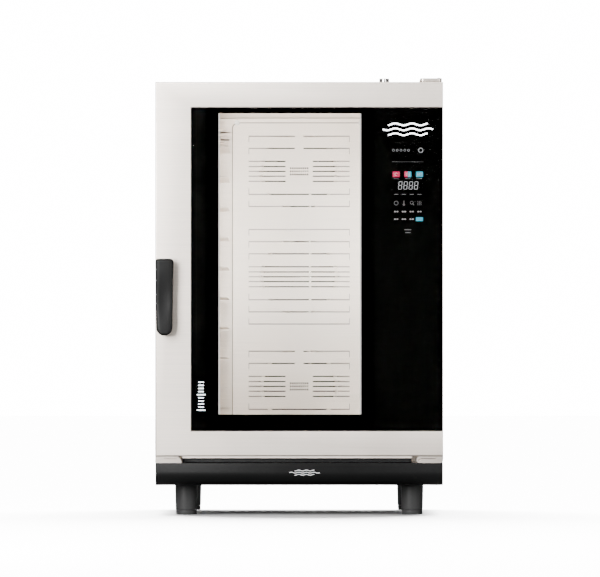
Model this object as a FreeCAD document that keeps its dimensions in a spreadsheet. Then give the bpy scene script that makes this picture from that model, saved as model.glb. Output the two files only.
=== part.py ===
"""Combi steamer oven for ten bakery trays, with every sub-part in its own STEP file.

Frame: X to the right seen from the front, Y towards the back, Z up, millimetres.
The origin is on the floor, in the middle of the oven's overall box.
"""
import FreeCAD, Part
import os
import re
import Sketcher
from FreeCAD import Placement, Rotation, Vector

SIZES = [
    # casing
    ("body_width", 760), ("oven_height", 1144.5), ("casing_depth", 850), ("sheet", 1.2),
    ("frame_sheet", 2), ("rear_reach", 30), ("flange_fold", 14), ("seat_gap", 0.3),
    ("vent_count", 12), ("vent_pitch", 14), ("vent_half", 90), ("vent_slit", 6), ("vent_drop", 90),
    # plinth, base and feet
    ("foot_height", 79), ("plinth_height", 59), ("plinth_round", 36), ("plinth_setback", 2),
    ("base_wall", 2), ("foot_radius", 30), ("foot_pad_height", 12), ("foot_edge", 80),
    ("foot_inset", 60), ("stem_radius", 8), ("foot_pad_radius", 28), ("stem_length", 34),
    # door
    ("door_thickness", 62), ("door_gap", 6), ("door_floor_gap", 17.7), ("door_sheet", 1.5),
    ("door_lift", 0.5), ("glass_left", 94.5), ("glass_top", 67.3), ("glass_bottom", 66.8),
    ("glass_sheet", 5.2), ("glass_rim", 0.5), ("window_left", 225), ("window_right", 175),
    ("window_low", 258), ("window_high", 1070), ("pane_cover", 62), ("pane_low", 163),
    ("pane_high", 1108), ("pane_sheet", 5), ("inner_frame_depth", 10), ("sleeve_wall", 1.5),
    ("led_width", 15), ("led_depth", 12), ("board_left", 215),
    ("board_right", 362), ("board_low", 560), ("board_high", 1060), ("board_depth", 10),
    ("drip_side", 69), ("drip_height", 4.8), ("drip_sheet", 1.2), ("drip_end", 67), ("clip_size", 14), ("clip_sheet", 2),
    # hinge
    ("hinge_inset", 16), ("hinge_pin_radius", 6), ("running_gap", 0.05), ("bush_radius", 10),
    ("bush_length", 20), ("bush_flange", 13), ("hinge_plate_width", 70.5),
    ("hinge_plate_height", 17), ("top_bracket_width", 57), ("top_bracket_height", 11.6),
    ("top_bracket_seat", 90), ("support_plate_width", 69), ("support_ramp", 10),
    # handle and latch
    ("handle_reach", 50), ("handle_width", 49.5), ("handle_foot_width", 41),
    ("handle_low", 473.7), ("handle_high", 676.6), ("handle_pivot_drop", 26),
    ("handle_stand_off", 18), ("handle_round", 7), ("boss_radius", 19), ("latch_radius", 7),
    ("latch_nose", 44), ("latch_sheet", 4), ("latch_half_width", 9), ("latch_play", 0.8), ("latch_eye", 6), ("keeper_radius", 6),
    # cavity
    ("cavity_width", 460), ("cavity_floor", 196), ("cavity_height", 879),
    ("cavity_depth", 700), ("liner_sheet", 1.5), ("insulation", 38), ("gasket_inset", 8),
    ("gasket_width", 16), ("plenum_depth", 85),
    # air guard
    ("guard_half", 181), ("guard_sheet", 1.5), ("guard_step", 12), ("guard_side_gap", 4),
    ("guard_end_gap", 2), ("guard_corner", 16), ("slot_half", 138), ("slot_height", 3.2),
    ("tick_length", 16), ("slot_inner", 37), ("rib_half", 11.6), ("slot_row", 13.2),
    ("slot_outer_row", 27.3), ("louvre_row", 62.7), ("louvre_pitch", 33.2),
    ("vent_half_width", 26.7), ("vent_half_height", 12), ("inlet_radius", 106),
    ("inlet_gap", 3), ("inlet_margin", 4), ("wing_slot", 32), ("screw_inset", 12),
    # fans, motors and heaters
    ("fan_low_height", 341.2), ("fan_mid_height", 640.5), ("fan_high_height", 928.5),
    ("fan_radius", 98), ("fan_depth", 44), ("fan_wall_gap", 11), ("fan_disc", 2),
    ("hub_radius", 17), ("blade_sheet", 2), ("blade_inner", 58), ("blade_count", 12),
    ("shaft_radius", 7), ("shaft_hole", 10), ("shaft_seat", 20), ("motor_radius", 55), ("motor_length", 84),
    ("motor_flange", 8), ("heater_ring", 126), ("heater_tube", 4.25), ("heater_pitch", 20),
    ("heater_leg", 50), ("heater_pin_radius", 5.5), ("plate_sheet", 2),
    # racks
    ("level_count", 10), ("level_pitch", 80), ("level_first", 62), ("ledge_width", 26),
    ("ledge_sheet", 1.5), ("rack_wall_gap", 12), ("rack_post", 26),
    ("rack_post_sheet", 3), ("rack_front", 22), ("rack_back", 24), ("pin_radius", 4),
    ("rack_lift", 12), ("rack_pin_drop", 30),
    # exhaust
    ("port_radius", 20), ("port_side", 10), ("port_back", 480), ("duct_width", 54),
    ("duct_height", 40), ("duct_sheet", 1.5), ("duct_rise", 8), ("chimney_side", 235),
    ("chimney_back", 68), ("chimney_radius", 14), ("chimney_wall", 1), ("chimney_reach", 46.5), ("chimney_collar", 1), ("chimney_spigot", 18),
    ("flap_drop", 22), ("flap_sheet", 1.2), ("flap_gap", 0.5), ("flap_pin", 1.5),
    # water, steam and drain
    ("injector_radius", 4), ("injector_side", 30), ("injector_exit", 160),
    ("drain_radius", 20), ("drain_step", 1), ("drain_wall", 2), ("drain_bead", 3), ("drain_back", 240), ("drain_level", 108),
    ("strainer_radius", 32), ("strainer_sheet", 2), ("valve_side", 250), ("valve_pitch", 55),
    ("valve_level", 190), ("inlet_thread", 13.2), ("inlet_step", 1.2), ("inlet_collar", 3),
    ("inlet_length", 24), ("valve_edge", 24), ("valve_depth", 40), ("coil_radius", 15),
    ("coil_height", 58), ("coil_back", 22),
    # electrical
    ("gland_side", 230), ("gland_level", 175), ("gland_radius", 15), ("gland_length", 22), ("gland_nut_wall", 4),
    ("gland_bore", 7), ("gland_nut", 9), ("terminal_width", 70), ("terminal_depth", 26),
    ("terminal_height", 24), ("terminal_pitch", 13), ("terminal_wall", 4), ("board_sheet", 2),
    ("power_length", 300), ("power_low", 420), ("power_high", 760), ("spacer", 12),
    ("spacer_radius", 4), ("relay_depth", 39), ("relay_width", 44), ("relay_pitch", 66),
    ("relay_height", 60), ("driver_depth", 21), ("driver_height", 30),
    ("cooler_side", 305), ("cooler_level", 300), ("cooler_size", 119), ("cooler_depth", 38),
    ("cooler_radius", 54), ("cooler_hub", 20), ("cooler_hole_gap", 2),
    ("cooler_blades", 7), ("cooler_blade_width", 22), ("cooler_blade_sheet", 1.6),
    ("cooler_blade_tilt", 35), ("cooler_blade_root", 6), ("cooler_arm", 8), ("cooler_arm_sheet", 4),
    ("cooler_seat", 6), ("cooler_vent", 5), ("probe_radius", 3), ("probe_drop", 8),
]

PLACES = {
    "half": "body_width / 2",
    "total_depth": "handle_reach + door_thickness + door_gap + casing_depth + rear_reach",
    "handle_front": "-total_depth / 2",
    "door_front": "handle_front + handle_reach",
    "door_back": "door_front + door_thickness",
    "frame_front": "door_back + door_gap",
    "liner_front": "frame_front + frame_sheet",
    "casing_back": "frame_front + casing_depth",
    "plinth_top": "foot_height + plinth_height",
    "door_bottom": "plinth_top + door_floor_gap",
    "door_top": "oven_height - door_lift",
    "roof": "oven_height - sheet",
    "cavity_half": "cavity_width / 2",
    "pane_half": "cavity_half + pane_cover",
    "cavity_ceiling": "cavity_floor + cavity_height",
    "cavity_back": "liner_front + cavity_depth",
    "liner_half": "cavity_half + liner_sheet",
    "liner_back": "cavity_back + liner_sheet",
    "wool_half": "liner_half + seat_gap + insulation",
    "wool_back": "liner_back + seat_gap + insulation",
    "guard_front": "cavity_back - plenum_depth",
    "wing_front": "guard_front + guard_step",
    "inlet_front": "guard_front + guard_sheet + inlet_gap",
    "hinge_x": "half - hinge_inset",
    "hinge_y": "door_front + door_thickness / 2",
    "glass_x": "glass_left - half",
    "pivot_x": "handle_width / 2 - half",
    "pivot_z": "handle_high - handle_pivot_drop",
    "fan_back": "cavity_back - fan_wall_gap",
    "motor_front": "wool_back + seat_gap + plate_sheet",
    "foot_x": "half - foot_edge",
    "foot_front": "frame_front + foot_inset",
    "foot_back": "casing_back - foot_inset",
    "rack_face": "cavity_half - rack_wall_gap",
    "rack_low": "cavity_floor + level_first - rack_post",
    "rack_high": "cavity_floor + level_first + level_pitch * level_count - rack_post",
    "rack_y0": "liner_front + rack_front",
    "rack_y1": "guard_front - rack_back",
    "post_y0": "rack_y0 + rack_post",
    "post_y1": "rack_y1 - rack_post",
    "rack_pin_z": "rack_high - rack_pin_drop",
    "port_y": "liner_front + port_back",
    "duct_low": "cavity_ceiling + liner_sheet + duct_rise",
    "duct_high": "duct_low + duct_height",
    "chimney_y": "casing_back - chimney_back",
    "chimney_top": "oven_height + chimney_reach",
    "chimney_sleeve": "chimney_radius + chimney_collar",
    "flap_z": "chimney_top - flap_drop",
    "drain_y": "cavity_back - drain_back",
    "pipe_radius": "drain_radius - drain_step",
    "inlet_stub": "inlet_thread - inlet_step",
    "outlet_end": "casing_back + rear_reach",
    "cooler_front": "casing_back - sheet - cooler_depth",
}

FANS = ("low", "mid", "high")
SIDES = {"left": -1, "right": 1}

doc = FreeCAD.newDocument("CombiOven")
sheet = doc.addObject("Spreadsheet::Sheet", "Dims")
for row, (alias, size) in enumerate(SIZES, start=1):
    sheet.set("A%d" % row, alias.replace("_", " "))
    sheet.set("B%d" % row, str(size))
    sheet.setAlias("B%d" % row, alias)
ALIASES = {alias for alias, size in SIZES}
subparts = []
doc.recompute()


# ---------------------------------------------------------------- shared helpers
def formula(text):
    """Write places out in sizes, and point every size at its cell."""
    def spell(match):
        word = match.group(0)
        if word in PLACES:
            return "(" + formula(PLACES[word]) + ")"
        return "Dims." + word if word in ALIASES else word
    return re.sub(r"[a-z][a-z0-9_]*", spell, str(text))


def value(text):
    """The number that a formula gives now."""
    return float(sheet.evalExpression(formula(text)))


def count(alias):
    """A whole number from the sheet, such as how many there are of a thing."""
    return int(value(alias))


def bind(item, prop, text):
    item.setExpression(prop, formula(text))


def keep(item, name):
    """Enter a finished object as the sub-part of that name."""
    item.Label = name
    subparts.append(item)
    return item


def box(x, y, z, name="Block"):
    """A block between (low, high) formulas on each axis."""
    made = doc.addObject("Part::Box", name)
    for prop, axis, (low, high) in (("Length", "x", x), ("Width", "y", y), ("Height", "z", z)):
        bind(made, prop, "(%s) - (%s)" % (high, low))
        bind(made, ".Placement.Base." + axis, low)
    return made


TURNS = {
    "x": Rotation(Vector(0, 1, 0), 90),
    "y": Rotation(Vector(1, 0, 0), -90),
    "z": Rotation(),
}


def rod(axis, across, radius, low, high, name="Rod"):
    """A round rod along an axis; across gives its place on the two other axes, in order."""
    made = doc.addObject("Part::Cylinder", name)
    made.Placement = Placement(Vector(), TURNS[axis])
    bind(made, "Radius", radius)
    bind(made, "Height", "(%s) - (%s)" % (high, low))
    others = [word for word in "xyz" if word != axis]
    for word, place in zip(others, across):
        bind(made, ".Placement.Base." + word, place)
    bind(made, ".Placement.Base." + axis, low)
    return made


def many(kind, items, name):
    made = doc.addObject(kind, name)
    if kind == "Part::Compound":
        made.Links = items
    else:
        made.Shapes = items
    return made


def fuse(items, name="Joined"):
    return many("Part::MultiFuse", items, name)


def group(items, name="Set"):
    return many("Part::Compound", items, name)


def cut(base, tools, name="Cut"):
    """Take away tools; tools that cross each other are fused first."""
    made = doc.addObject("Part::Cut", name)
    made.Base = base
    made.Tool = tools[0] if len(tools) == 1 else fuse(tools, "Tools")
    return made


def tube(axis, across, radius, bore, low, high):
    end = 1
    return cut(rod(axis, across, radius, low, high),
               [rod(axis, across, bore, "%s - %d" % (low, end), "%s + %d" % (high, end))])


def new_body(name):
    return keep(doc.addObject("PartDesign::Body", name), name)


def origin_item(body, role):
    return [item for item in body.Origin.OriginFeatures if item.Role == role][0]


def outline(body, plane, points, level="0"):
    """A closed outline of straight lines, each corner tied to the sheet.

    Planes: XY faces up, XZ faces the front (level is the distance towards the
    front from y = 0), YZ faces right.
    """
    sketch = body.newObject("Sketcher::SketchObject", "Outline")
    sketch.AttachmentSupport = [(origin_item(body, plane + "_Plane"), "")]
    sketch.MapMode = "FlatFace"
    corners = [(value(across), value(up)) for across, up in points]
    count = len(corners)
    for index, (across, up) in enumerate(corners):
        after = corners[(index + 1) % count]
        sketch.addGeometry(Part.LineSegment(Vector(across, up, 0), Vector(after[0], after[1], 0)))
    for index in range(count):
        sketch.addConstraint(Sketcher.Constraint("Coincident", index, 2, (index + 1) % count, 1))
    for index, pair in enumerate(points):
        for kind, text in zip(("DistanceX", "DistanceY"), pair):
            tie = sketch.addConstraint(Sketcher.Constraint(kind, -1, 1, index, 1, value(text)))
            bind(sketch, "Constraints[%d]" % tie, text)
    bind(sketch, ".AttachmentOffset.Base.z", level)
    return sketch


def rectangle(x, z):
    return [(x[0], z[0]), (x[1], z[0]), (x[1], z[1]), (x[0], z[1])]


def extrude(body, kind, sketch, length, backwards=False):
    """Pad or Pocket a sketch; a Pocket that misses the solid is an error."""
    before = body.Shape.Volume if body.Tip else 0
    made = body.newObject("PartDesign::" + kind, kind)
    made.Profile = sketch
    made.Reversed = backwards
    bind(made, "Length", length)
    doc.recompute()
    if kind == "Pocket" and not body.Shape.Volume < before:
        raise RuntimeError("a pocket cuts nothing in " + body.Label)
    return made


def round_edges(body, radius, wanted):
    """Fillet the edges whose middle point and direction suit the test."""
    shape = body.Shape
    names = []
    for index, edge in enumerate(shape.Edges, start=1):
        middle = edge.valueAt((edge.FirstParameter + edge.LastParameter) / 2)
        if edge.Curve.TypeId == "Part::GeomLine" and wanted(middle, edge.Curve.Direction):
            names.append("Edge%d" % index)
    solid = body.Tip
    made = body.newObject("PartDesign::Fillet", "Round")
    made.Base = (solid, names)
    bind(made, "Radius", radius)
    doc.recompute()
    return made


# ---------------------------------------------------------------- base and feet
def base_frame():
    """Folded steel tray that carries the casing, with its drain hole at the back."""
    outer = box(("-half + sheet", "half - sheet"), ("frame_front", "casing_back - sheet"),
                ("foot_height", "plinth_top"))
    inner = box(("-half + sheet + base_wall", "half - sheet - base_wall"),
                ("frame_front + base_wall", "casing_back - sheet - base_wall"),
                ("foot_height + base_wall", "plinth_top + base_wall"))
    hole = rod("y", ("0", "drain_level"), "pipe_radius + seat_gap", "cavity_back", "casing_back")
    keep(cut(outer, [inner, hole]), "base_frame")


def plinth_panel():
    """Front skirt: a folded sheet that rolls under at its foot."""
    body = new_body("plinth_panel")
    front, back = "door_front + plinth_setback", "frame_front"
    sketch = outline(body, "YZ", rectangle((front, back), ("foot_height", "plinth_top")), "-half + 0.5")
    extrude(body, "Pad", sketch, "body_width - 1")
    low = value("foot_height")
    nose = value(front)
    round_edges(body, "plinth_round",
                lambda p, d: abs(d.x) > 0.9 and abs(p.z - low) < 0.01 and abs(p.y - nose) < 0.01)
    inside = outline(body, "YZ", [
        ("%s + base_wall" % front, "foot_height + plinth_round"),
        ("%s + plinth_round" % front, "foot_height + base_wall + 2"),
        ("frame_front - base_wall", "foot_height + base_wall + 2"),
        ("frame_front - base_wall", "plinth_top - base_wall"),
        ("%s + base_wall" % front, "plinth_top - base_wall")], "-half + base_wall")
    extrude(body, "Pocket", inside, "body_width - 2 * base_wall", True)


def feet():
    """Four levelling feet: a sleeve on the base and a pad on a threaded stem."""
    sleeves, pads = [], []
    for sign in SIDES.values():
        for end in ("front", "back"):
            across = ("%d * foot_x" % sign, "foot_" + end)
            sleeves.append(cut(rod("z", across, "foot_radius", "foot_pad_height + seat_gap",
                                   "foot_height"),
                               [rod("z", across, "stem_radius + seat_gap", "0",
                                    "foot_pad_height + stem_length + seat_gap")]))
            pads.append(fuse([rod("z", across, "foot_pad_radius", "0", "foot_pad_height"),
                              rod("z", across, "stem_radius", "0", "foot_pad_height + stem_length")]))
    keep(group(sleeves), "foot_sleeves")
    keep(group(pads), "foot_pads")


# ---------------------------------------------------------------- casing
def side_panel(side, sign):
    """Side sheet with a fold at its front and back edge."""
    body = new_body("side_panel_" + side)
    face = "%d * half" % sign
    skin = "%d * (half - sheet)" % sign
    fold = "%d * (half - flange_fold)" % sign
    front, back = "liner_front", "casing_back - sheet"
    sketch = outline(body, "XY", [
        (face, front), (face, back), (fold, back), (fold, back + " - sheet"),
        (skin, back + " - sheet"), (skin, front + " + sheet"), (fold, front + " + sheet"),
        (fold, front)], "plinth_top")
    extrude(body, "Pad", sketch, "roof - plinth_top")
    skirt = outline(body, "XY", [(face, front), (face, back), (skin, back), (skin, front)], "foot_height")
    extrude(body, "Pad", skirt, "plinth_height")


def top_panel():
    """Roof sheet with the chimney's hole."""
    slab = box(("-half", "half"), ("frame_front", "casing_back"), ("roof", "oven_height"))
    hole = rod("z", ("chimney_side", "chimney_y"), "chimney_sleeve + seat_gap", "roof - 1",
               "oven_height + 1")
    keep(cut(slab, [hole]), "top_panel")


def rear_panel():
    """Back sheet with holes for the drain, the water inlets, the cable gland and the vents."""
    slab = box(("-half", "half"), ("casing_back - sheet", "casing_back"), ("foot_height", "roof"))
    low, high = "casing_back - sheet - 1", "casing_back + 1"
    holes = [rod("y", ("0", "drain_level"), "pipe_radius + seat_gap", low, high),
             rod("y", ("gland_side", "gland_level"), "gland_radius - gland_nut_wall + seat_gap", low, high)]
    for index in range(2):
        holes.append(rod("y", ("-valve_side + %d * valve_pitch" % index, "valve_level"),
                         "inlet_stub + seat_gap", low, high))
    for index in range(9):
        level = "cooler_level + %d * (cooler_radius / 4.4)" % (index - 4)
        holes.append(box(("cooler_side - cooler_radius * 0.8", "cooler_side + cooler_radius * 0.8"),
                         (low, high), (level + " - cooler_vent / 2", level + " + cooler_vent / 2")))
    for index in range(count("vent_count")):
        level = "oven_height - vent_drop - %d * vent_pitch" % index
        holes.append(box(("-vent_half", "vent_half"), (low, high),
                         (level + " - vent_slit / 2", level + " + vent_slit / 2")))
    keep(cut(slab, holes), "rear_panel")


def front_frame():
    """Front sheet around the cavity's mouth, with the welded stud that the latch hook holds."""
    slab = box(("-half", "half"), ("frame_front", "liner_front"), ("plinth_top", "roof"))
    mouth = box(("-cavity_half", "cavity_half"), ("frame_front - 1", "liner_front + 1"),
                ("cavity_floor", "cavity_ceiling"))
    stud = rod("y", ("pivot_x - latch_half_width - keeper_radius - seat_gap",
                     "pivot_z - latch_nose + keeper_radius"),
               "keeper_radius", "door_back + seat_gap", "frame_front")
    keep(group([cut(slab, [mouth]), stud]), "front_frame")


# ---------------------------------------------------------------- cavity
def heater_legs(fan, low, high, radius):
    level = "fan_%s_height" % fan
    return [rod("y", ("%d * heater_ring" % sign, level), radius, low, high)
            for sign in SIDES.values()]


def rear_holes(low, high):
    """Shaft and heater holes, which the rear wall, the wool and the motor plate share."""
    holes = []
    for fan in FANS:
        level = "fan_%s_height" % fan
        holes.append(rod("y", ("0", level), "shaft_hole", low, high))
        holes += heater_legs(fan, low, high, "heater_pin_radius + seat_gap")
    holes.append(rod("y", ("injector_exit", "(fan_low_height + fan_mid_height) / 2"),
                     "injector_radius + seat_gap", low, high))
    return holes


def cavity_liner():
    """Stainless oven chamber, open at the front."""
    shell = box(("-liner_half", "liner_half"), ("liner_front", "liner_back"),
                ("cavity_floor - liner_sheet", "cavity_ceiling + liner_sheet"))
    room = box(("-cavity_half", "cavity_half"), ("liner_front - 1", "cavity_back"),
               ("cavity_floor", "cavity_ceiling"))
    holes = rear_holes("cavity_back - 1", "liner_back + 1")
    holes.append(rod("z", ("-port_side", "port_y"), "port_radius", "cavity_ceiling - 1",
                     "cavity_ceiling + liner_sheet + 1"))
    holes.append(rod("z", ("0", "drain_y"), "pipe_radius + seat_gap",
                     "cavity_floor - liner_sheet - 1", "cavity_floor + 1"))
    holes.append(rod("x", ("port_y", "cavity_ceiling - probe_drop"), "probe_radius + seat_gap",
                     "cavity_half - 1", "liner_half + 1"))
    keep(cut(shell, [room] + holes), "cavity_liner")


def insulation_wool():
    """Mineral wool slabs on five sides of the chamber."""
    low = "cavity_floor - liner_sheet - seat_gap"
    high = "cavity_ceiling + liner_sheet + seat_gap"
    front = "liner_front + seat_gap"
    floor = cut(box(("-wool_half", "wool_half"), (front, "liner_back"), (low + " - insulation", low)),
                [rod("z", ("0", "drain_y"), "pipe_radius + seat_gap", "foot_height", "cavity_floor")])
    roof = cut(box(("-wool_half", "wool_half"), (front, "liner_back"),
                   (high, "duct_high + seat_gap + 6")),
               [box(("-port_side - duct_width / 2 - 1", "-port_side + duct_width / 2 + 1"),
                    ("port_y - duct_width / 2 - 1", "liner_back + 1"), ("cavity_ceiling", "roof"))])
    slabs = [floor, roof]
    for sign in SIDES.values():
        near_wall, far_wall = "%d * (liner_half + seat_gap)" % sign, "%d * wool_half" % sign
        across = (far_wall, near_wall) if sign < 0 else (near_wall, far_wall)
        slab = box(across, (front, "liner_back"), (low, high))
        if sign > 0:
            slab = cut(slab, [rod("x", ("port_y", "cavity_ceiling - probe_drop"),
                                  "probe_radius + seat_gap", "cavity_half", "wool_half + 1")])
        slabs.append(slab)
    slabs.append(cut(box(("-wool_half", "wool_half"), ("liner_back + seat_gap", "wool_back"),
                         (low, high)), rear_holes("liner_back", "wool_back + 1")))
    keep(group(slabs), "insulation_wool")


def door_gasket():
    """Silicone seal around the mouth, just touching the inner glass."""
    def ring(edge, start, end):
        return box(("-cavity_half - %s" % edge, "cavity_half + %s" % edge), (start, end),
                   ("cavity_floor - %s" % edge, "cavity_ceiling + %s" % edge))
    seal = ring("(gasket_inset + gasket_width)", "door_back + seat_gap", "frame_front")
    keep(cut(seal, [ring("gasket_inset", "door_back", "frame_front + 1")]), "door_gasket")


# ---------------------------------------------------------------- air guard
def slot(level, low, high):
    return box((low, high), ("guard_front - 1", "wing_front - 1"),
               ("%s - slot_height / 2" % level, "%s + slot_height / 2" % level))


def louvre(level, towards, ribbed):
    """A pressed flap: a long cut with a short cut at each end, towards the fan's centre."""
    spans = [("-slot_half", "-rib_half"), ("rib_half", "slot_half")] if ribbed else \
        [("-slot_half", "slot_half")]
    cuts = [slot(level, low, high) for low, high in spans]
    ends = (level, "%s + tick_length" % level) if towards > 0 else ("%s - tick_length" % level, level)
    for low, high in (("-slot_half", "-slot_half + 1.6"), ("slot_half - 1.6", "slot_half")):
        cuts.append(box((low, high), ("guard_front - 1", "wing_front - 1"), ends))
    return cuts


def fan_slots(fan, louvre_count):
    """Straight slots in front of one fan, and the louvres above and below them."""
    level = "fan_%s_height" % fan
    split = fan != "mid"
    cuts = []
    for row in (-2, -1, 0, 1, 2):
        offset = "%s + %s" % (level, {0: "0", 1: "slot_row", -1: "-slot_row",
                                      2: "slot_outer_row", -2: "-slot_outer_row"}[row])
        spans = [("-slot_half", "-slot_inner"), ("slot_inner", "slot_half")] if split else \
            [("-slot_half", "slot_half")]
        cuts += [slot("(%s)" % offset, low, high) for low, high in spans]
    for index in range(louvre_count):
        offset = "louvre_row + %d * louvre_pitch" % index
        cuts += louvre("(%s + %s)" % (level, offset), -1, split)
        cuts += louvre("(%s - %s)" % (level, offset.replace("+", "-")), 1, False)
    if split:
        for row in (-1, 0, 1):
            for column in range(-4, 5):
                middle = "%d * vent_half_width / 4.6" % column
                height = "(%s + %d * vent_half_height / 1.4)" % (level, row)
                cuts.append(box((middle + " - 1.8", middle + " + 1.8"),
                                ("guard_front - 1", "wing_front - 1"),
                                (height + " - 2.4", height + " + 2.4")))
    return cuts


def fan_baffle():
    """Air guard in front of the fans: a plate with louvres, stepped wings and side walls."""
    base = doc.addObject("PartDesign::Body", "GuardBlank")
    edge = "(cavity_half - guard_side_gap)"
    thick = "guard_sheet"
    points = [("-%s" % edge, "cavity_back"), ("-%s" % edge, "wing_front"),
              ("-guard_half", "wing_front"), ("-guard_half", "guard_front"),
              ("guard_half", "guard_front"), ("guard_half", "wing_front"),
              (edge, "wing_front"), (edge, "cavity_back"),
              ("%s - %s" % (edge, thick), "cavity_back"),
              ("%s - %s" % (edge, thick), "wing_front + guard_sheet"),
              ("guard_half - guard_sheet", "wing_front + guard_sheet"),
              ("guard_half - guard_sheet", "guard_front + guard_sheet"),
              ("-guard_half + guard_sheet", "guard_front + guard_sheet"),
              ("-guard_half + guard_sheet", "wing_front + guard_sheet"),
              ("-%s + %s" % (edge, thick), "wing_front + guard_sheet"),
              ("-%s + %s" % (edge, thick), "cavity_back")]
    sketch = outline(base, "XY", points, "cavity_floor + guard_end_gap")
    extrude(base, "Pad", sketch, "cavity_height - 2 * guard_end_gap")
    cuts = fan_slots("low", 2) + fan_slots("mid", 3) + fan_slots("high", 2)
    for sign in SIDES.values():
        middle = "%d * (guard_half + cavity_half) / 2" % sign
        for level in ("cavity_ceiling - 60", "cavity_ceiling - 40", "cavity_floor + 60",
                      "cavity_floor + 85"):
            cuts.append(box((middle + " - wing_slot / 2", middle + " + wing_slot / 2"),
                            ("wing_front - 1", "wing_front + guard_sheet + 1"),
                            (level + " - 2", level + " + 2")))
        for level in ("cavity_floor", "cavity_ceiling"):
            hand = 1 if level == "cavity_floor" else -1
            cuts.append(rod("y", ("%d * (guard_half - screw_inset)" % sign,
                                  "%s + %d * (guard_end_gap + screw_inset)" % (level, hand)),
                            "pin_radius + seat_gap", "guard_front - 1", "wing_front"))
    keep(cut(base, cuts), "fan_baffle")


def baffle_screws():
    """Four studs from the rear wall, each with a round nut in front of the air guard."""
    screws = []
    for sign in SIDES.values():
        for level, hand in (("cavity_floor", 1), ("cavity_ceiling", -1)):
            across = ("%d * (guard_half - screw_inset)" % sign,
                      "%s + %d * (guard_end_gap + screw_inset)" % (level, hand))
            screws.append(fuse([rod("y", across, "pin_radius", "guard_front - 3", "cavity_back"),
                                rod("y", across, "pin_radius + 3.5", "guard_front - 6",
                                    "guard_front")]))
    keep(group(screws), "baffle_screws")


def inlet_plate():
    """Plate behind the air guard with the three round fan inlets."""
    slab = box(("-guard_half + inlet_margin", "guard_half - inlet_margin"),
               ("inlet_front", "inlet_front + guard_sheet"),
               ("cavity_floor + guard_end_gap", "cavity_ceiling - guard_end_gap"))
    holes = [rod("y", ("0", "fan_%s_height" % fan), "inlet_radius", "inlet_front - 1",
                 "inlet_front + guard_sheet + 1") for fan in FANS]
    for sign in SIDES.values():
        for level, hand in (("cavity_floor", 1), ("cavity_ceiling", -1)):
            holes.append(rod("y", ("%d * (guard_half - screw_inset)" % sign,
                                   "%s + %d * (guard_end_gap + screw_inset)" % (level, hand)),
                             "pin_radius + seat_gap", "inlet_front - 1",
                             "inlet_front + guard_sheet + 1"))
    keep(cut(slab, holes), "inlet_plate")


# ---------------------------------------------------------------- fans and heaters
def fan_wheel(fan):
    """Centrifugal wheel: back disc, hub, curved ring of flat blades and a front ring."""
    body = new_body("fan_wheel_" + fan)
    back, front = "-fan_back", "fan_depth - fan_back"
    wheel = circle_sketch(body, [("fan_radius", False), ("shaft_radius", True)], back)
    extrude(body, "Pad", wheel, "fan_disc")
    hub = circle_sketch(body, [("hub_radius", False), ("shaft_radius", True)], back)
    extrude(body, "Pad", hub, "fan_depth * 0.7")
    ring = circle_sketch(body, [("fan_radius", False), ("fan_radius - 14", True)],
                         "%s - fan_disc" % front)
    blade = outline(body, "XZ", rectangle(("blade_inner", "fan_radius - 0.5"),
                                          ("-blade_sheet / 2", "blade_sheet / 2")), back)
    first = extrude(body, "Pad", blade, "fan_depth - 0.5")
    pattern = body.newObject("PartDesign::PolarPattern", "Blades")
    pattern.Originals = [first]
    pattern.Axis = (origin_item(body, "Y_Axis"), [""])
    pattern.Angle = 360
    bind(pattern, "Occurrences", "blade_count")
    body.Tip = pattern
    doc.recompute()
    extrude(body, "Pad", ring, "fan_disc")
    bind(body, ".Placement.Base.z", "fan_%s_height" % fan)


def circle_sketch(body, circles, level):
    """Circles about the body's Y axis; a ring is an outer and an inner circle."""
    sketch = body.newObject("Sketcher::SketchObject", "Circles")
    sketch.AttachmentSupport = [(origin_item(body, "XZ_Plane"), "")]
    sketch.MapMode = "FlatFace"
    for index, (radius, inner) in enumerate(circles):
        sketch.addGeometry(Part.Circle(Vector(), Vector(0, 0, 1), value(radius)))
        sketch.addConstraint(Sketcher.Constraint("Coincident", index, 3, -1, 1))
        tie = sketch.addConstraint(Sketcher.Constraint("Radius", index, value(radius)))
        bind(sketch, "Constraints[%d]" % tie, radius)
    bind(sketch, ".AttachmentOffset.Base.z", level)
    return sketch


def fan_shaft(fan):
    """Motor shaft, through the wall into the wheel's hub."""
    level = "fan_%s_height" % fan
    keep(rod("y", ("0", level), "shaft_radius - running_gap", "fan_back - fan_depth * 0.7 - 6",
             "motor_front + shaft_seat"), "fan_shaft_" + fan)


def fan_motor(fan):
    """Motor with its mounting flange on the plate behind the wool."""
    level = "fan_%s_height" % fan
    middle = ("0", level)
    body = fuse([rod("y", middle, "motor_radius + 10", "motor_front", "motor_front + motor_flange"),
                 rod("y", middle, "motor_radius", "motor_front + 1", "motor_front + motor_length"),
                 box(("motor_radius - 6", "motor_radius + 24"),
                     ("motor_front + 24", "motor_front + 62"), (level + " - 22", level + " + 22"))])
    keep(cut(body, [rod("y", middle, "shaft_radius", "motor_front - 1", "motor_front + shaft_seat + 1")]),
         "fan_motor_" + fan)


def motor_plate():
    """Steel plate behind the wool that carries the three motors."""
    slab = box(("-wool_half", "wool_half"), ("wool_back + seat_gap", "motor_front"),
               ("plinth_top", "cavity_ceiling"))
    low, high = "wool_back", "motor_front + 1"
    drain = box(("-drain_radius - 4", "drain_radius + 4"), (low, high),
                ("plinth_top - 1", "drain_level + drain_radius + 16"))
    keep(cut(slab, rear_holes(low, high) + [drain]), "motor_plate")


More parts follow.
